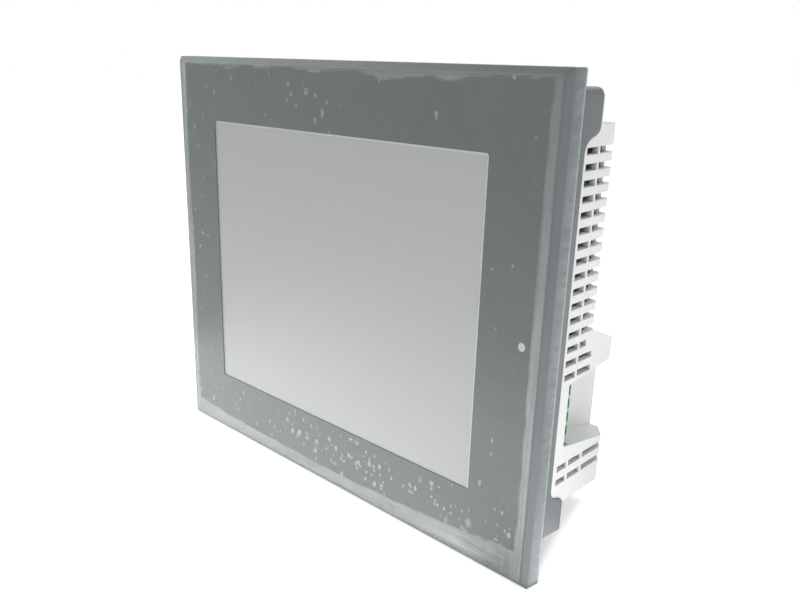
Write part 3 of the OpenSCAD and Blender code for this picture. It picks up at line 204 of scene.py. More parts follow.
# Floor: half its width in metres, and the white added to it in full light
FLOOR_HALF = 4.0
FLOOR_WHITE = 0.76
# Painted contact shadow on the floor, over the lamps' own shadow: its middle, and the distances at which it
# starts to fade and is gone
SHADOW_MIDDLE = (72, 40)
SHADOW_FADE = (30, 150)
# Direction across its outer side, and the same two places along it, then behind and in front in Y
SHADOW_ACROSS = (0.929, 0.369, 0)
SHADOW_SIDE = (94, 100)
SHADOW_BEHIND = (62, 72)
SHADOW_FRONT = (12, -10)

# The photograph's size and where the lens axis meets it, in pixels
PHOTO_SIZE = (800, 600)
LENS_AXIS = (343.017, 402.799)
# The camera's place, and the directions of its right, its top and its back
CAMERA_PLACE = (278.25, -232.319, 90.275)
CAMERA_RIGHT = (0.63890488, 0.7692343, 0.00889647)
CAMERA_UP = (-0.2821481, 0.22355445, 0.9329608)
CAMERA_BACK = (0.7156766, -0.59858333, 0.35986803)
SENSOR_WIDTH = 36
# Nearest and farthest that the camera sees, in metres
CAMERA_CLIP = (0.01, 50)


def low_high(node):
    """The lowest and highest corner of a CAD node in millimetres, as two arrays."""
    low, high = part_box(node)
    return np.array(low) / MM, np.array(high) / MM


def window():
    """Half width, half height and middle height of the window, from the touch film behind it."""
    low, high = low_high("touch_film")
    half = (high - low) / 2 - TOUCH_MARGIN
    return half[0], half[2], (low[2] + high[2]) / 2


# Settings


def colour_prop(name, default, description):
    """A colour setting with the given default."""
    return bpy.props.FloatVectorProperty(
        name=name, description=description, subtype="COLOR", size=3, min=0, max=1, default=default)


def length_prop(name, default, description):
    """A length setting, with its default in millimetres."""
    return bpy.props.FloatProperty(
        name=name, description=description, default=default * MM, min=0, precision=5, unit="LENGTH")


def power_prop(name, default, description):
    """A lamp's power in watts."""
    return bpy.props.FloatProperty(
        name=name, description=description, default=default, min=0, unit="POWER")


def share_prop(name, default, description):
    """A share from 0 to 1."""
    return bpy.props.FloatProperty(
        name=name, description=description, default=default, min=0, max=1, subtype="FACTOR")


def in_mm(group):
    """The lengths of a group of settings in millimetres, by name."""
    return {name: getattr(group, name) / MM for name in group.__annotations__}


class PanelColours(bpy.types.PropertyGroup):
    """Colours of the panel's plastics, prints and boards."""

    case: colour_prop("Front case", (0.118, 0.137, 0.140), "Dark moulding of bezel and skirt")
    cover: colour_prop("Rear cover", (0.75, 0.762, 0.75), "Pale moulding of the rear cover")
    overlay: colour_prop("Overlay", (0.096, 0.118, 0.115), "Printed sheet round the window")
    screen: colour_prop("Screen", (0.344, 0.356, 0.356), "Matt film over the dark display")
    haze: colour_prop("Film haze", (0.75, 0.82, 0.80), "Lifted parts of the protective film")
    plug: colour_prop("Plugs", (0.12, 0.54, 0.24), "Green connector plastic")
    board: colour_prop("Boards", (0.035, 0.15, 0.07), "Solder mask of the circuit boards")


class FilmSizes(bpy.types.PropertyGroup):
    """Sizes of the protective film's loose edges, blisters and mesh."""

    left: length_prop("Left edge", 3.6, "Loose strip along the left edge")
    right: length_prop("Right edge", 3.0, "Loose strip along the right edge")
    top: length_prop("Top edge", 0.2, "Loose strip along the top edge")
    bottom: length_prop("Bottom edge", 4.6, "Loose strip along the bottom edge")
    wave: length_prop("Wave", 0.5, "Waviness of the stuck edge")
    rise: length_prop("Rise", 0.1, "How far a blister stands up")
    pitch: length_prop("Grid", 0.8, "Spacing of the film's mesh")


class StudioSettings(bpy.types.PropertyGroup):
    """Camera, lamps and white."""

    lens: bpy.props.FloatProperty(
        name="Lens", description="Focal length", default=41.772, min=1, unit="CAMERA")
    key: power_prop("Key light", 1.2, "Power of the key light")
    fill: power_prop("Fill light", 1.05, "Power of the fill light")
    front: power_prop("Front light", 1.3, "Power of the light by the camera")
    back: power_prop("Back light", 1.7, "Power of the light from behind")
    table: power_prop("Table light", 0.23, "Power of the lit table in front")
    side: power_prop("Side light", 0.28, "Power of the lit table beside")
    rear: power_prop("Rear light", 0.65, "Power of the lit table behind")
    sky: share_prop("Sky", 0.345, "Strength of the light from all round")
    floor: share_prop("Floor", 0.22, "White added to the floor in the part's shadow")


# Finishes


class Finish:
    """One material: a Principled shader and the nodes that vary it, in millimetres of the part."""

    def __init__(self, name, colour, roughness, **sockets):
        self.material = bpy.data.materials.new(name)
        self.material.use_nodes = True
        self.tree = self.material.node_tree
        self.shader = self.tree.nodes["Principled BSDF"]
        self.places = {}
        self.put(colour, self.shader.inputs["Base Color"])
        self.put(roughness, self.shader.inputs["Roughness"])
        for socket, value in sockets.items():
            self.put(value, self.shader.inputs[SOCKETS[socket]])

    def put(self, value, socket):
        """Links another node's output to a socket, or sets the socket's own value."""
        if isinstance(value, bpy.types.NodeSocket):
            self.tree.links.new(value, socket)
        elif socket.type == "RGBA":
            socket.default_value = (*value, 1)
        else:
            socket.default_value = value

    def add(self, kind, inputs=None, **settings):
        """A new node; an input is a value or another node's output."""
        node = self.tree.nodes.new("ShaderNode" + kind)
        for key, value in settings.items():
            setattr(node, key, value)
        for key, value in (inputs or {}).items():
            self.put(value, node.inputs[key])
        return node

    def feed(self, value, socket):
        """Gives one of the shader's own sockets another node's output, or a value."""
        self.put(value, self.shader.inputs[socket])

    def place(self, stretch=(1, 1, 1)):
        """Object coordinates in millimetres, stretched along the axes."""
        if stretch not in self.places:
            coords = self.add("TexCoord").outputs["Object"]
            scale = tuple(1 / MM / s for s in stretch)
            self.places[stretch] = self.add("Mapping", {"Vector": coords, "Scale": scale}).outputs[0]
        return self.places[stretch]

    def axis(self, name):
        """One object coordinate in millimetres."""
        return self.add("SeparateXYZ", {"Vector": self.place()}).outputs[name]

    def noise(self, size, detail=3.0, stretch=(1, 1, 1)):
        """Cloudy noise whose lumps are about size millimetres wide."""
        node = self.add("TexNoise", {"Vector": self.place(stretch), "Scale": 1 / size, "Detail": detail})
        return node.outputs["Fac"]

    def cells(self, size, stretch=(1, 1, 1)):
        """Scattered cells about size millimetres apart: the distance to a cell's middle, and its colour."""
        node = self.add("TexVoronoi", {"Vector": self.place(stretch), "Scale": 1 / size})
        return node.outputs["Distance"], node.outputs["Color"]

    def span(self, value, low, high, to_low=0.0, to_high=1.0):
        """Maps a stretch of values onto another, with ends held."""
        node = self.add("MapRange", {"Value": value, "From Min": low, "From Max": high,
                                     "To Min": to_low, "To Max": to_high})
        return node.outputs["Result"]

    def calc(self, kind, *values):
        """Arithmetic on one or two values."""
        return self.add("Math", dict(enumerate(values)), operation=kind).outputs[0]

    def times(self, a, b):
        """The product of two values."""
        return self.calc("MULTIPLY", a, b)

    def most(self, a, b):
        """The greater of two values."""
        return self.calc("MAXIMUM", a, b)

    def mix(self, share, a, b, kind="RGBA"):
        """Colour a, or value a of kind FLOAT, turning into b as share goes to 1."""
        node = self.add("Mix", {"Factor": share}, data_type=kind)
        # The node has its ends A and B once for each sort of value
        sort = "VALUE" if kind == "FLOAT" else kind
        ends = [s for s in node.inputs if s.type == sort and s.name in ("A", "B")]
        for value, socket in zip((a, b), ends):
            self.put(value, socket)
        return next(s for s in node.outputs if s.type == sort)

    def paint_hollow_shade(self, base, dark, hollows):
        """Colour base with painted shade, turning dark in each kind of hollow as its walls leave less of it
        open.
        """
        for reach, full in hollows:
            clear = self.add("AmbientOcclusion", {"Distance": reach * MM}, samples=8).outputs["AO"]
            base = self.mix(self.span(clear, DARKEST * full, full), dark, base)
        return base

    def relief(self, height, depth, rounding=0.0):
        """Fine relief of the given depth in millimetres, over edges rounded by rounding."""
        inputs = {"Height": height, "Distance": depth * MM}
        if rounding:
            inputs["Normal"] = self.add("Bevel", {"Radius": rounding * MM}, samples=6).outputs[0]
        self.feed(self.add("Bump", inputs).outputs[0], "Normal")


def shade(colour, factor):
    """A colour made lighter or darker by a factor."""
    return tuple(min(1.0, c * factor) for c in colour)


def stepped(colour, step):
    """A colour with the same step added to each of its parts."""
    return tuple(min(1.0, c + step) for c in colour)


def moulded(name, colour, roughness=0.45, grain=0.35, depth=0.012, rounding=0.35, dust=0.0, inside=1.0):
    """Moulded plastic: eroded grain, slow change of tone, uneven gloss, a little dust, painted shade in
    hollows.
    """
    f = Finish(name, colour, roughness, specular=0.42)
    slow = f.times(f.noise(28, 4), 0.55)
    quick = f.times(f.noise(1.3, 2), 0.45)
    cloud = f.span(f.calc("ADD", slow, quick), 0.35, 0.65)
    base = f.mix(cloud, shade(colour, 0.95), shade(colour, 1.05))
    if dust:
        speck = f.span(f.cells(2.4)[0], 0.0, 0.16, 1.0, 0.0)
        rare = f.span(f.noise(9, 2), 0.52, 0.66)
        base = f.mix(f.times(f.times(speck, rare), dust), base, stepped(colour, 0.22))
    if inside < 1:
        # Painted shade in hollows, down to the colour times inside
        base = f.paint_hollow_shade(base, shade(colour, inside), MOULDED_SHADED_HOLLOWS)
    f.feed(base, "Base Color")
    f.feed(f.span(f.noise(6, 3), 0.3, 0.7, roughness - 0.05, roughness + 0.07), "Roughness")
    f.relief(f.noise(grain, 2), depth, rounding)
    return f.material


def metal(name, colour, roughness=0.3, stretch=(1, 1, 1), inside=1.0):
    """Plated or turned metal: fine lines drawn along the stretch, cloudy tarnish, painted shade in hollows.
    """
    fine = 0.6
    f = Finish(name, colour, roughness, metallic=1.0)
    base = f.mix(f.span(f.noise(5, 3), 0.35, 0.7), colour, shade(colour, 0.82))
    if inside < 1:
        # Painted shade in hollows, down to the colour times inside
        base = f.paint_hollow_shade(base, shade(colour, inside), METAL_SHADED_HOLLOWS)
    f.feed(base, "Base Color")
    f.feed(f.span(f.noise(fine, 3, stretch), 0.25, 0.75, roughness - 0.08, roughness + 0.12), "Roughness")
    f.relief(f.noise(fine, 2, stretch), 0.004, 0.12)
    return f.material


def circuit_board(name, colour):
    """Solder mask over copper: tracks run along both directions between tinned pads."""
    f = Finish(name, colour, 0.28, specular=0.5, coat=0.3)
    across = f.span(f.noise(1.1, 1, (9, 1, 1)), 0.47, 0.5)
    along = f.span(f.noise(1.1, 1, (1, 1, 9)), 0.47, 0.5)
    lane = f.mix(f.span(f.noise(14, 1), 0.48, 0.52), across, along, "FLOAT")
    mask = f.mix(lane, shade(colour, 0.72), shade(colour, 1.35))
    pad = f.span(f.cells(2.6)[0], 0.10, 0.13, 1.0, 0.0)
    f.feed(f.mix(pad, mask, (0.55, 0.53, 0.45)), "Base Color")
    f.feed(f.span(pad, 0, 1, 0.3, 0.45), "Roughness")
    f.relief(lane, 0.02)
    return f.material


def clear_sheet(name, colour, alpha):
    """Clear glass or plastic with faint streaks of dust."""
    gloss = 0.05
    f = Finish(name, colour, gloss, ior=1.5, alpha=alpha)
    f.feed(f.span(f.noise(12, 4, (1, 1, 6)), 0.3, 0.8, gloss, gloss + 0.12), "Roughness")
    f.feed(f.mix(f.span(f.noise(20, 3), 0.3, 0.7), colour, shade(colour, 0.9)), "Base Color")
    return f.material


def dress(finishes):
    """Puts a finish on every CAD node of each material slot of the record."""
    for part in frame["record"]["subparts"]:
        finish = finishes.get(part["material_slot"])
        if finish is None:
            continue
        node = frame["nodes"][part["node"]]
        if not node.data.materials:
            node.data.materials.append(finish)
        for slot in node.material_slots:
            slot.material = finish


# Shapes


def add_piece(name, vertices, faces, finish, slot, smooth=False, body="housing"):
    """A new piece in metres from points in millimetres, riding on one body."""
    mesh = bpy.data.meshes.new(name)
    mesh.from_pydata((np.asarray(vertices) * MM).tolist(), [], np.asarray(faces).tolist())
    mesh.update()
    mesh.polygons.foreach_set("use_smooth", np.full(len(mesh.polygons), smooth))
    piece = bpy.data.objects.new(name, mesh)
    bpy.context.scene.collection.objects.link(piece)
    mesh.materials.append(finish)
    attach(piece, body)
    return piece


def add_solids(name, shape, finish, slot, body="housing"):
    """A new piece of closed shapes, given as points and faces, with every face turned outwards."""
    piece = add_piece(name, *shape, finish, slot, body=body)
    work = bmesh.new()
    work.from_mesh(piece.data)
    bmesh.ops.recalc_face_normals(work, faces=work.faces)
    work.to_mesh(piece.data)
    work.free()


def boxes(centres, sizes):
    """Boxes: eight corners about each centre, six outward faces each."""
    centres = np.atleast_2d(centres).astype(float)
    sizes = np.broadcast_to(np.asarray(sizes, float), centres.shape)
    corner = np.array([[x, y, z] for x in (-1, 1) for y in (-1, 1) for z in (-1, 1)]) / 2
    vertices = (centres[:, None, :] + corner[None] * sizes[:, None, :]).reshape(-1, 3)
    face = np.array([[0, 1, 3, 2], [4, 6, 7, 5], [0, 4, 5, 1], [2, 3, 7, 6], [0, 2, 6, 4], [1, 5, 7, 3]])
    faces = (np.arange(len(centres))[:, None, None] * 8 + face[None]).reshape(-1, 4)
    return vertices, faces


def strips(path, width, thick, xs):
    """Flat wires: a rectangle of width by thick carried along a path in Y and Z, once at each x."""
    path = np.asarray(path, float)
    step = np.gradient(path, axis=0)
    step /= np.linalg.norm(step, axis=1, keepdims=True)
    side = np.stack([-step[:, 1], step[:, 0]], 1) * thick / 2
    ring = np.array([[-1, -1], [1, -1], [1, 1], [-1, 1]])
    n = len(path)
    yz = path[:, None, :] + ring[None, :, 1:2] * side[:, None, :]
    x = np.broadcast_to(ring[None, :, 0] * width / 2, (n, 4))
    wire = np.concatenate([x[..., None], yz], 2).reshape(-1, 3)
    i = np.arange(n - 1)[:, None] * 4
    j = np.arange(4)[None]
    k = (j + 1) % 4
    faces = np.stack([i + j, i + k, i + 4 + k, i + 4 + j], -1).reshape(-1, 4)
    caps = np.array([[3, 2, 1, 0], [4 * n - 4, 4 * n - 3, 4 * n - 2, 4 * n - 1]])
    faces = np.concatenate([faces, caps])
    xs = np.asarray(xs, float)
    vertices = (wire[None] + np.stack([xs, 0 * xs, 0 * xs], 1)[:, None]).reshape(-1, 3)
    faces = (np.arange(len(xs))[:, None, None] * 4 * n + faces[None]).reshape(-1, 4)
    return vertices, faces


def spread(middle, count, pitch):
    """Evenly spaced places about a middle."""
    return middle + (np.arange(count) - (count - 1) / 2) * pitch


def ease(value):
    """Smooth step from 0 to 1."""
    t = np.clip(value, 0, 1)
    return t * t * (3 - 2 * t)


def bell(value, middle, width):
    """Bell curve: 1 at its middle, falling off over its width."""
    return np.exp(-((value - middle) / width) ** 2)


def waves(along, parts):
    """A sum of sines, each with its share, length and phase."""
    return sum(share * np.sin(2 * np.pi * along / length + phase) for share, length, phase in parts)


def film_lift(x, z, half_w, half_h, sizes):
    """The film's lift off its print and its haze there, as shares of the full lift and haze.

    A strip is loose along each edge. Its width is its own size plus a sum of sines along the edge,
    along the top bell curves at its dips, and along the bottom a parabola towards either end.
    A blister is a paraboloid with eased sides over a turned ellipse.
    """
    sag = sum(depth * bell(x, middle, width) for middle, width, depth in TOP_DIPS)
    ends = sum(height * np.clip((x - start) / (end - start), 0, 1) ** 2
               for start, end, height in BOTTOM_RISES)
    top = sizes["top"] + sag + sizes["wave"] * waves(x, FINE_WAVES)
    bottom = sizes["bottom"] + ends + 0.5 * sizes["wave"] * waves(x, FINE_WAVES)
    left = sizes["left"] + sizes["wave"] * waves(z, LEFT_WAVES)
    right = sizes["right"] + sizes["wave"] * waves(z, RIGHT_WAVES)
    gaps = (half_h - z - top, z + half_h - bottom, x + half_w - left, half_w - x - right)
    loose = [1 - ease(gap / FILM_BLEND) for gap in gaps]
    lift = np.max(loose, axis=0)
    # The top strip gets clearer to the right, and the right one upwards
    shares = (0.6 - 0.0015 * x, 1.15, 1.0, 0.75 - 0.004 * z)
    haze = np.max([share * part for share, part in zip(shares, loose)], axis=0)
    for cx, cz, rx, rz, turn in BLISTERS:
        u = ((x - cx) * math.cos(turn) + (z - cz) * math.sin(turn)) / rx
        v = ((z - cz) * math.cos(turn) - (x - cx) * math.sin(turn)) / rz
        dome = ease(BLISTER_STEEPNESS * (1 - u * u - v * v))
        lift = np.maximum(lift, dome)
        haze = np.maximum(haze, BLISTER_HAZE * dome)
    return lift, haze


def film_dust(x, z):
    """Share of the film's spots that hold a fleck.

    It is a sum of bell curves, highest along the bottom, and nothing on the window.
    """
    low = bell(z, -68, 7) * (0.26 + 0.6 * bell(x, 8, 40))
    left = 0.10 * bell(x, -92, 9)
    top = 0.12 * bell(z, 71, 9) * bell(x, -10, 30)
    right = 0.10 * bell(x, 88, 5) * bell(z, -45, 16)
    everywhere = 0.01
    half_w, half_h, middle = window()
    clear = (np.abs(x) < half_w) & (np.abs(z - middle) < half_h)
    return np.where(clear, 0, np.clip(low + left + top + right + everywhere, 0, 1))


# Operators


class PANEL_OT_housing(bpy.types.Operator):
    """Finish the front case, the rear cover and their seals"""

    bl_idname = "panel.housing"
    bl_label = "Housing"

    def execute(self, context):
        colours = context.scene.panel_colours
        dress({
            "case_dark": self.case(tuple(colours.case)),
            # The rear cover gets painted shade in its hollows and slots
            "cover_pale": moulded("pale cover plastic", tuple(colours.cover), 0.5, depth=0.015, inside=0.5),
            "gasket_black": moulded("gasket rubber", (0.02, 0.02, 0.021), 0.75, grain=0.5, depth=0.02,
                                    rounding=0.2, dust=0.3),
            "foam_black": moulded("sealing foam", (0.022, 0.022, 0.023), 0.9, grain=0.4, depth=0.06,
                                  rounding=0.2),
        })
        return {"FINISHED"}

    @staticmethod
    def case(colour):
        """Dark case plastic with a painted highlight along the bezel's rim and rear edge, and painted light
        on its bevels.
        """
        f = Finish("dark case plastic", colour, 0.38, specular=0.5)
        half_w, _, half_h = low_high("front_case")[1]
        depth = f.axis("Y")
        wide = f.calc("ABSOLUTE", f.axis("X"))
        tall = f.calc("ABSOLUTE", f.axis("Z"))
        rim = f.most(f.span(wide, *(half_w - inset for inset in RIM_HIGHLIGHT_INSET)),
                     f.span(tall, *(half_h - inset for inset in RIM_HIGHLIGHT_INSET)))
        # Painted highlight: the rim's sides grow paler towards the rear edge, in broken noise, and palest on
        # the edge itself
        sheen_noise = f.span(f.noise(2.5, 5, (1, 3, 1)), 0.38, 0.62, 0.1, 0.42)
        side_sheen = f.times(f.span(depth, *SHEEN_DEPTH), sheen_noise)
        edge = f.times(f.span(depth, *EDGE_HIGHLIGHT_DEPTH), 0.75)
        rim_highlight = f.times(rim, f.calc("ADD", side_sheen, edge))
        tone = f.span(f.noise(28, 4), 0.3, 0.7)
        base = f.mix(tone, shade(colour, 0.95), shade(colour, 1.05))
        lines = f.span(f.noise(0.6, 2, (1, 12, 1)), 0.35, 0.7)
        base = f.mix(f.times(lines, 0.3), base, shade(colour, 1.25))
        # Painted light: the top and bottom bevels are paler towards the left
        bevel = f.times(f.span(tall, *(half_h - inset for inset in BEVEL_INSET)), f.span(depth, *BEVEL_DEPTH))
        pale = f.times(bevel, f.span(f.axis("X"), *BEVEL_LIGHT_FADE, 1, 0))
        base = f.mix(pale, base, shade(colour, 2.0))
        f.feed(f.mix(rim_highlight, base, shade(colour, 2.9)), "Base Color")
        f.feed(f.span(f.noise(6, 3), 0.3, 0.7, 0.33, 0.45), "Roughness")
        f.relief(f.noise(0.3, 2), 0.012, 1.2)
        return f.material


class PANEL_OT_screen(bpy.types.Operator):
    """Finish the printed overlay, the matt screen, the display and the status light"""

    bl_idname = "panel.screen"
    bl_label = "Screen"

    def execute(self, context):
        colours = context.scene.panel_colours
        dress({
            "overlay_print": self.overlay(tuple(colours.overlay)),
            "touch_matt": self.matt_screen(tuple(colours.screen)),
            "touch_glass_clear": clear_sheet("touch glass", (0.8, 0.86, 0.84), 0.35),
            "cell_glass": clear_sheet("display cell", (0.05, 0.055, 0.055), 0.92),
            "guide_clear": clear_sheet("light guide", (0.85, 0.9, 0.9), 0.5),
            "light_white": self.milky((0.46, 0.48, 0.475)),
            "tray_white": moulded("white moulding", (0.72, 0.73, 0.71), 0.5, grain=0.4, rounding=0.2),
            "flex_amber": self.flex((0.42, 0.2, 0.045)),
            "ribbon_white": self.ribbon(),
        })
        return {"FINISHED"}

    @staticmethod
    def overlay(colour):
        """Printed sheet: even dark ink, faintly mottled."""
        f = Finish("printed overlay", colour, 0.3, specular=0.5)
        cloud = f.span(f.noise(40, 3), 0.3, 0.7)
        ink = f.mix(cloud, shade(colour, 0.94), shade(colour, 1.07))
        f.feed(f.mix(f.span(f.noise(1.6, 3), 0.4, 0.7), ink, shade(colour, 1.07)), "Base Color")
        f.feed(f.span(f.noise(15, 3), 0.3, 0.7, 0.27, 0.35), "Roughness")
        f.relief(f.noise(3, 2), 0.004)
        return f.material

    @staticmethod
    def matt_screen(colour):
        """Etched film over a dark display: sparkle, a pale line by the print, painted shade along the left
        border.
        """
        f = Finish("matt screen", colour, 0.42, specular=0.9)
        sparkle = f.span(f.noise(0.45, 2), 0.3, 0.7)
        base = f.mix(sparkle, shade(colour, 0.91), shade(colour, 1.09))
        half_w, half_h, middle = window()
        across = f.axis("X")
        right = f.span(across, half_w - SCREEN_LINE_RIGHT[1], half_w - SCREEN_LINE_RIGHT[0])
        edge = middle + half_h
        top = f.span(f.axis("Z"), edge - SCREEN_LINE_TOP[1], edge - SCREEN_LINE_TOP[0])
        base = f.mix(f.times(f.most(right, top), 0.55), base, shade(colour, 1.9))
        # Painted shade along the left border, under the print's edge
        left = f.span(across, SCREEN_SHADE_LEFT[0] - half_w, SCREEN_SHADE_LEFT[1] - half_w, 1.0, 0.0)
        base = f.mix(f.times(left, 0.6), base, shade(colour, 0.55))
        f.feed(base, "Base Color")
        f.feed(f.span(sparkle, 0, 1, 0.38, 0.48), "Roughness")
        f.relief(f.noise(0.3, 2), 0.02)
        return f.material

    @staticmethod
    def milky(colour):
        """Milky light-guiding plastic that lets light in by a millimetre."""
        f = Finish("milky light pipe", colour, 0.25, subsurface=0.15)
        f.shader.inputs["Subsurface Radius"].default_value = (MM, MM, MM)
        cloud = f.span(f.noise(1.2, 2), 0.3, 0.7)
        f.feed(f.mix(cloud, stepped(colour, -0.03), stepped(colour, 0.03)), "Base Color")
        f.relief(f.noise(0.5, 2), 0.005)
        return f.material

    @staticmethod
    def flex(colour):
        """Amber film with darker printed lines along its length."""
        f = Finish("amber flex", colour, 0.3)
        line = f.span(f.noise(0.7, 1, (1, 40, 1)), 0.45, 0.55)
        f.feed(f.mix(line, colour, (0.28, 0.12, 0.02)), "Base Color")
        f.relief(line, 0.02)
        return f.material

    @staticmethod
    def ribbon():
        """Flat cable: pale wires side by side, each a wave across the cable."""
        wire_pitch = 1.27
        f = Finish("flat cable", (0.7, 0.68, 0.6), 0.5)
        ridge = f.calc("SINE", f.times(f.axis("X"), 2 * math.pi / wire_pitch))
        f.feed(f.mix(f.span(ridge, -1, 1), (0.55, 0.53, 0.47), (0.74, 0.72, 0.65)), "Base Color")
        f.relief(ridge, 0.1)
        return f.material


class PANEL_OT_film(bpy.types.Operator):
    """Lay the clear protective film with its loose edges, blisters and flecks"""

    bl_idname = "panel.film"
    bl_label = "Protective film"

    def execute(self, context):
        sizes = in_mm(context.scene.panel_film)
        low, high = low_high("protective_film")
        wide, tall = (int(round((high[i] - low[i]) / sizes["pitch"])) + 1 for i in (0, 2))
        x, z = np.meshgrid(np.linspace(low[0], high[0], wide),
                           np.linspace(low[2], high[2], tall), indexing="ij")
        lift, haze = film_lift(x, z, high[0], high[2], sizes)
        # Each point stands off the print by the gap and its lift, which fades towards the outer edge
        rim = np.minimum(np.minimum(x - low[0], high[0] - x), np.minimum(z - low[2], high[2] - z))
        y = high[1] - FILM_GAP - sizes["rise"] * lift * ease(rim / FILM_RIM)
        vertices = np.stack([x, y, z], -1).reshape(-1, 3)
        i, j = np.meshgrid(np.arange(wide - 1), np.arange(tall - 1), indexing="ij")
        corner = (i * tall + j).reshape(-1)
        faces = np.stack([corner, corner + tall, corner + tall + 1, corner + 1], -1)
        finish = self.finish(tuple(context.scene.panel_colours.haze))
        piece = add_piece("protective_film_sheet", vertices, faces, finish, "clear_film", smooth=True)
        for name, values in (("haze", haze), ("dust", film_dust(x, z))):
            layer = piece.data.attributes.new(name, "FLOAT", "POINT")
            layer.data.foreach_set("value", values.reshape(-1).astype(np.float32))
        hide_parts("protective_film")
        return {"FINISHED"}

    @classmethod
    def finish(cls, haze):
        """Clear film: unseen where it sticks, hazy and streaked along loose edges, pale at flecks."""
        f = Finish("protective film", haze, 0.16, ior=1.5)
        loose = f.add("Attribute", attribute_name="haze").outputs["Fac"]
        dust = f.add("Attribute", attribute_name="dust").outputs["Fac"]
        smear = f.span(f.noise(9, 4, THROUGH), 0.35, 0.75, 0.85, 1.12)
        along = f.noise(1.6, 3, (30, 40, 1))
        upright = f.noise(1.6, 3, (1, 40, 30))
        beside = f.span(f.calc("ABSOLUTE", f.axis("X")), 95, 99)
        streak = f.span(f.mix(beside, along, upright, "FLOAT"), 0.3, 0.7, 0.6, 1.4)
        cover = f.times(f.times(f.span(loose, 0, 1, 0.0, 0.30), smear), streak)
        fleck = f.most(cls.flecks(f, 2.9, dust), cls.flecks(f, 1.7, f.times(dust, 0.8)))
        bright = f.span(f.axis("Z"), -40, 40, 0.38, 0.2)
        f.feed(f.most(cover, f.times(fleck, bright)), "Alpha")
        f.feed(f.mix(f.span(f.noise(30, 3), 0.3, 0.7), haze, shade(haze, 1.08)), "Base Color")
        f.feed(f.span(f.noise(14, 3), 0.3, 0.7, 0.12, 0.24), "Roughness")
        f.relief(f.noise(2.2, 3, THROUGH), 0.03)
        return f.material

    @staticmethod
    def flecks(f, size, dust):
        """Ragged flecks in scattered cells: a cell has one where its own chance lies under the dust."""
        distance, colour = f.cells(size, (1, 40, 1.3))
        chance = f.add("SeparateColor", {"Color": colour}).outputs
        edge = f.span(chance["Green"], 0, 1, 0.10, 0.34)
        ragged = f.times(f.calc("SUBTRACT", f.noise(0.7, 2, THROUGH), 0.5), 0.55)
        reach = f.calc("ADD", f.calc("SUBTRACT", distance, edge), ragged)
        spot = f.span(reach, -0.05, 0.05, 1, 0)
        chosen = f.calc("LESS_THAN", chance["Red"], dust)
        return f.times(spot, chosen)


class PANEL_OT_boards(bpy.types.Operator):
    """Finish the circuit boards and what stands on them, and add small parts"""

    bl_idname = "panel.boards"
    bl_label = "Boards"

    def execute(self, context):
        colours = context.scene.panel_colours
        black = moulded("black moulding", (0.024, 0.025, 0.027), grain=0.25, depth=0.01,
                        rounding=0.12, dust=0.2)
        tan = moulded("chip capacitor", (0.36, 0.22, 0.09), 0.4, grain=0.3, depth=0.004, rounding=0.1)
        dress({
            "board_green": circuit_board("green board", tuple(colours.board)),
            "black_parts": black,
            "transformer_brown": moulded("varnished winding", (0.16, 0.07, 0.02), 0.35, grain=0.5,
                                         depth=0.05, rounding=0.3),
            "capacitor_sleeve": moulded("capacitor sleeve", (0.02, 0.035, 0.09), 0.25, grain=0.8,
                                        depth=0.004, rounding=0.2),
        })
        rng = np.random.default_rng(PART_SEED)
        for name, finish, slot, count, size, shift in (
                ("small_parts_dark", black, "black_parts", 90, (2.0, 0.7, 1.25), 1.08),
                ("small_parts_tan", tan, "transformer_brown", 110, (1.25, 0.8, 2.0), 0.0)):
            centres = self.spots(rng, count, shift, size[1] / 2)
            add_solids(name, boxes(centres, size), finish, slot)
        return {"FINISHED"}

    @staticmethod
    def spots(rng, count, shift, rise):
        """Random places on the main board: drawn evenly, dropped near larger parts, then set on the grid."""
        half = count // 2
        x = np.concatenate([rng.uniform(*RIGHT_AREA, half), rng.uniform(*LEFT_AREA, count - half)])
        z = rng.uniform(*PART_SPAN, count)
        keep = np.ones(count, bool)
        for node in ("heat_sink", "battery_holder", "buzzer", "expansion_sockets", "board_link"):
            low, high = low_high(node)
            beside = (x < low[0] - PART_ROOM) | (x > high[0] + PART_ROOM)
            keep &= beside | (z < low[2] - PART_ROOM) | (z > high[2] + PART_ROOM)
        for cx, cz, room in (*CHIPS, *BOARD_SCREWS):
            keep &= np.maximum(np.abs(x - cx), np.abs(z - cz)) > room
        grid = np.round(np.stack([x[keep], z[keep]], 1) / PART_GRID) * PART_GRID
        x, z = np.unique(grid, axis=0).T
        return np.stack([x + shift, np.full(len(x), low_high("main_board")[1][1] + rise), z], 1)


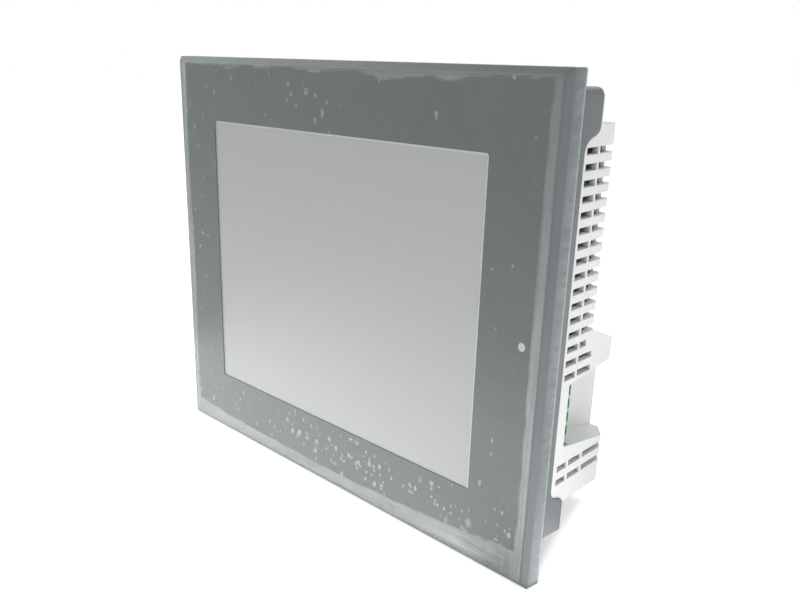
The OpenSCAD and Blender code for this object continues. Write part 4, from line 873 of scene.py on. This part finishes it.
class PANEL_OT_connectors(bpy.types.Operator):
    """Finish the connectors and put the contacts into their mouths"""

    bl_idname = "panel.connectors"
    bl_label = "Connectors"

    def execute(self, context):
        plug = tuple(context.scene.panel_colours.plug)
        dress({
            "plug_green": moulded("green connector plastic", plug, 0.4, grain=0.3, depth=0.008, rounding=0.2),
            # The port shells get deep painted shade inside
            "port_metal": metal("port shell", (0.72, 0.73, 0.74), 0.22, stretch=(6, 1, 1), inside=0.06),
        })
        gold = metal("gold contact", (0.83, 0.62, 0.26), 0.22)
        for jack in ("serial_jack", "network_jack"):
            add_solids(jack + "_contacts", self.jack_contacts(jack), gold, "brass")
        add_solids("usb_contacts", self.usb_contacts(), gold, "brass")
        add_solids("card_pins", self.card_pins(), gold, "brass")
        # The cages are near black to paint the shade inside the plugs' wire entries
        dark = moulded("clamp cage", (0.02, 0.028, 0.022), 0.5, grain=0.3, depth=0.01, rounding=0.1)
        add_solids("side_plug_cages", self.side_shade_cages(), dark, "black_parts", body="side_plug")
        add_solids("supply_plug_cages", self.supply_shade_cages(), dark, "black_parts", body="supply_plug")
        return {"FINISHED"}

    @staticmethod
    def jack_contacts(jack):
        """Spring contacts of a modular jack: flat wires whose path to the mouth is the start of a sine."""
        low, high = low_high(jack)
        t = np.linspace(0, 1, JACK_POINTS)
        y = high[1] - JACK_START[0] - JACK_RUN[0] * np.sin(JACK_BEND * t)
        z = low[2] + JACK_START[1] - JACK_RUN[1] * t
        xs = spread((low[0] + high[0]) / 2, JACK_CONTACTS, JACK_PITCH)
        return strips(np.stack([y, z], 1), *JACK_WIRE, xs)

    @staticmethod
    def usb_contacts():
        """Flat contacts straight along the inner face of both ports' tongues."""
        low, high = low_high("usb_shells")
        middles = (low[0] + USB_WIDTH / 2, high[0] - USB_WIDTH / 2)
        y = high[1] - USB_SHEET - USB_GAP - USB_TONGUE - USB_WIRE[1] / 2
        tip = low_high("usb_tongues")[0][2]
        z = np.linspace(tip + USB_CONTACT_ENDS[0], tip + USB_CONTACT_ENDS[1], USB_POINTS)
        xs = np.concatenate([middle + USB_CONTACTS for middle in middles])
        return strips(np.stack([np.full(USB_POINTS, y), z], 1), *USB_WIRE, xs)

    @staticmethod
    def card_pins():
        """Two rows of square pins that stand on the card socket's end wall."""
        low = low_high("card_socket")[0]
        x = low[0] + CARD_WALL_X - CARD_PIN[0] / 2
        zs = spread(low[2] + CARD_SHEET + CARD_HALF, CARD_PINS, CARD_PITCH)
        return boxes([(x, low[1] + CARD_SHEET + row, z) for row in CARD_ROWS for z in zs], CARD_PIN)

    @staticmethod
    def side_shade_cages():
        """Near-black clamp cages just inside the side plug's wire entries, as painted shade."""
        low, high = low_high("aux_plug")
        x, y = high[:2] - SIDE_CAGE_INSET
        zs = spread((low[2] + high[2]) / 2, SIDE_POLES, SIDE_PITCH)
        return boxes([(x, y, z) for z in zs], SIDE_CAGE)

    @staticmethod
    def supply_shade_cages():
        """Near-black clamp cages just inside the supply plug's wire entries, as painted shade."""
        low, high = low_high("power_plug")
        y, z = low[1:] + SUPPLY_CAGE_INSET
        xs = spread((low[0] + high[0]) / 2, SUPPLY_POLES, SUPPLY_PITCH)
        return boxes([(x, y, z) for x in xs], SUPPLY_CAGE)


class PANEL_OT_metalwork(bpy.types.Operator):
    """Finish the sheet metal, screws, spacers and the heat sink"""

    bl_idname = "panel.metalwork"
    bl_label = "Metalwork"

    def execute(self, context):
        dress({
            "frame_sheet": metal("plain sheet", (0.6, 0.61, 0.62), 0.34, stretch=(12, 1, 1)),
            "screw_steel": metal("plated screw", (0.66, 0.67, 0.68), 0.28),
            "brass": metal("turned brass", (0.68, 0.5, 0.2), 0.3, stretch=(1, 8, 1)),
            "sink_aluminium": metal("extruded aluminium", (0.62, 0.64, 0.65), 0.38, stretch=(1, 1, 12)),
            "cell_steel": metal("cell can", (0.7, 0.71, 0.7), 0.2),
        })
        return {"FINISHED"}


class PANEL_OT_stage(bpy.types.Operator):
    """Set the floor, the white surroundings, the lamps and the camera"""

    bl_idname = "panel.stage"
    bl_label = "Studio"

    def execute(self, context):
        scene = context.scene
        settings = scene.panel_studio
        scene.view_settings.view_transform = "Standard"
        ground = CAD_BOX[0][2]
        self.floor(ground, settings.floor)
        self.surroundings(scene, settings.sky)
        for name, (place, width) in HANGING_LAMPS.items():
            self.lamp(name, place, (0, 0, 0), (width, width), getattr(settings, name))
        level = ground + TABLE_LAMP_RISE * MM
        for name, (place, size) in TABLE_LAMPS.items():
            self.lamp(name, (*place, level), (*place, 1), size, getattr(settings, name))
        self.camera(scene, settings.lens)
        return {"FINISHED"}

    @staticmethod
    def seen(tree):
        """1 where the camera, gloss or glass looks straight at a surface, else 0."""
        path = tree.nodes.new("ShaderNodeLightPath")
        seen = path.outputs["Is Camera Ray"]
        for name in ("Is Glossy Ray", "Is Transmission Ray"):
            join = tree.nodes.new("ShaderNodeMath")
            join.operation = "MAXIMUM"
            tree.links.new(seen, join.inputs[0])
            tree.links.new(path.outputs[name], join.inputs[1])
            seen = join.outputs[0]
        return seen

    @classmethod
    def floor(cls, height, shadow):
        """A wide pale floor, with white added where it is seen, and less of it in a painted contact shadow.

        The white grows with the distance from the shadow's middle, and is full past the shadow's outer
        side, behind it and in front of it.
        """
        corners = [(x * FLOOR_HALF, y * FLOOR_HALF, height) for x, y in ((-1, -1), (1, -1), (1, 1), (-1, 1))]
        mesh = bpy.data.meshes.new("floor")
        mesh.from_pydata(corners, [], [(0, 1, 2, 3)])
        floor = bpy.data.objects.new("floor", mesh)
        bpy.context.scene.collection.objects.link(floor)
        pale = (0.9, 0.9, 0.9)
        f = Finish("pale floor", pale, 0.7)
        cloud = f.span(f.noise(90, 3), 0.3, 0.7)
        f.feed(f.mix(cloud, stepped(pale, -0.01), stepped(pale, 0.01)), "Base Color")
        f.feed((1, 1, 1), "Emission Color")
        middle = (*SHADOW_MIDDLE, height / MM)
        far = f.add("VectorMath", {0: f.place(), 1: middle}, operation="DISTANCE").outputs["Value"]
        across = f.add("VectorMath", {0: f.place(), 1: SHADOW_ACROSS}, operation="DOT_PRODUCT")
        depth = f.axis("Y")
        clear = f.span(far, *SHADOW_FADE)
        for value, fade in ((across.outputs["Value"], SHADOW_SIDE), (depth, SHADOW_BEHIND),
                            (depth, SHADOW_FRONT)):
            clear = f.most(clear, f.span(value, *fade))
        # Less white in this zone paints the contact shadow
        white = f.span(clear, 0, 1, shadow, FLOOR_WHITE)
        f.feed(f.times(cls.seen(f.tree), white), "Emission Strength")
        mesh.materials.append(f.material)

    @classmethod
    def surroundings(cls, scene, sky):
        """White where the camera, gloss or glass looks, and a softer white as light."""
        world = scene.world or bpy.data.worlds.new("studio")
        scene.world = world
        world.use_nodes = True
        tree = world.node_tree
        tree.nodes.clear()
        level = tree.nodes.new("ShaderNodeMapRange")
        level.inputs["To Min"].default_value = sky
        level.inputs["To Max"].default_value = 1.0
        tree.links.new(cls.seen(tree), level.inputs["Value"])
        light = tree.nodes.new("ShaderNodeBackground")
        light.inputs["Color"].default_value = (1, 1, 1, 1)
        tree.links.new(level.outputs[0], light.inputs["Strength"])
        out = tree.nodes.new("ShaderNodeOutputWorld")
        tree.links.new(light.outputs[0], out.inputs["Surface"])

    @staticmethod
    def lamp(name, place, target, size, power):
        """A soft rectangular lamp that faces a target and isn't seen by the camera."""
        data = bpy.data.lights.new(name, "AREA")
        data.shape = "RECTANGLE"
        data.size, data.size_y = size
        data.energy = power
        lamp = bpy.data.objects.new(name, data)
        bpy.context.scene.collection.objects.link(lamp)
        aim = Vector(target) - Vector(place)
        lamp.matrix_world = Matrix.Translation(place) @ aim.to_track_quat("-Z", "Y").to_matrix().to_4x4()
        lamp.visible_camera = False

    @staticmethod
    def camera(scene, lens):
        """The camera at the photograph's place, with its framing as shift."""
        data = bpy.data.cameras.new("camera")
        data.sensor_fit = "HORIZONTAL"
        data.sensor_width = SENSOR_WIDTH
        data.lens = lens
        width, height = PHOTO_SIZE
        data.shift_x = (width / 2 - LENS_AXIS[0]) / width
        data.shift_y = (LENS_AXIS[1] - height / 2) / width
        data.clip_start, data.clip_end = CAMERA_CLIP
        camera = bpy.data.objects.new("camera", data)
        scene.collection.objects.link(camera)
        place = [v * MM for v in CAMERA_PLACE]
        camera.matrix_world = Matrix([*zip(CAMERA_RIGHT, CAMERA_UP, CAMERA_BACK, place), (0, 0, 0, 1)])
        scene.camera = camera


class PANEL_PT_sidebar(bpy.types.Panel):
    """Sidebar panel with the settings and one button for each group of pieces"""

    bl_idname = "PANEL_PT_sidebar"
    bl_label = "Touch Panel"
    bl_space_type = "VIEW_3D"
    bl_region_type = "UI"
    bl_category = "Touch Panel"

    def draw(self, context):
        for group_name in GROUPS:
            group = getattr(context.scene, group_name)
            column = self.layout.column(align=True)
            for name in group.__annotations__:
                column.prop(group, name)
        for operator in OPERATORS:
            self.layout.operator(operator.bl_idname)


GROUPS = {"panel_colours": PanelColours, "panel_film": FilmSizes, "panel_studio": StudioSettings}
OPERATORS = (PANEL_OT_housing, PANEL_OT_screen, PANEL_OT_film, PANEL_OT_boards, PANEL_OT_connectors,
             PANEL_OT_metalwork, PANEL_OT_stage)
CLASSES = (*GROUPS.values(), *OPERATORS, PANEL_PT_sidebar)


def register():
    """Registers the classes and hangs the settings on the scene."""
    for cls in CLASSES:
        bpy.utils.register_class(cls)
    for name, group in GROUPS.items():
        setattr(bpy.types.Scene, name, bpy.props.PointerProperty(type=group))


def unregister():
    """Takes the settings off the scene and unregisters the classes."""
    for name in GROUPS:
        delattr(bpy.types.Scene, name)
    for cls in reversed(CLASSES):
        bpy.utils.unregister_class(cls)


def main():
    """Registers the add-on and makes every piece."""
    register()
    for operator in OPERATORS:
        group, name = operator.bl_idname.split(".")
        getattr(getattr(bpy.ops, group), name)()


if __name__ == "__main__":
    main()
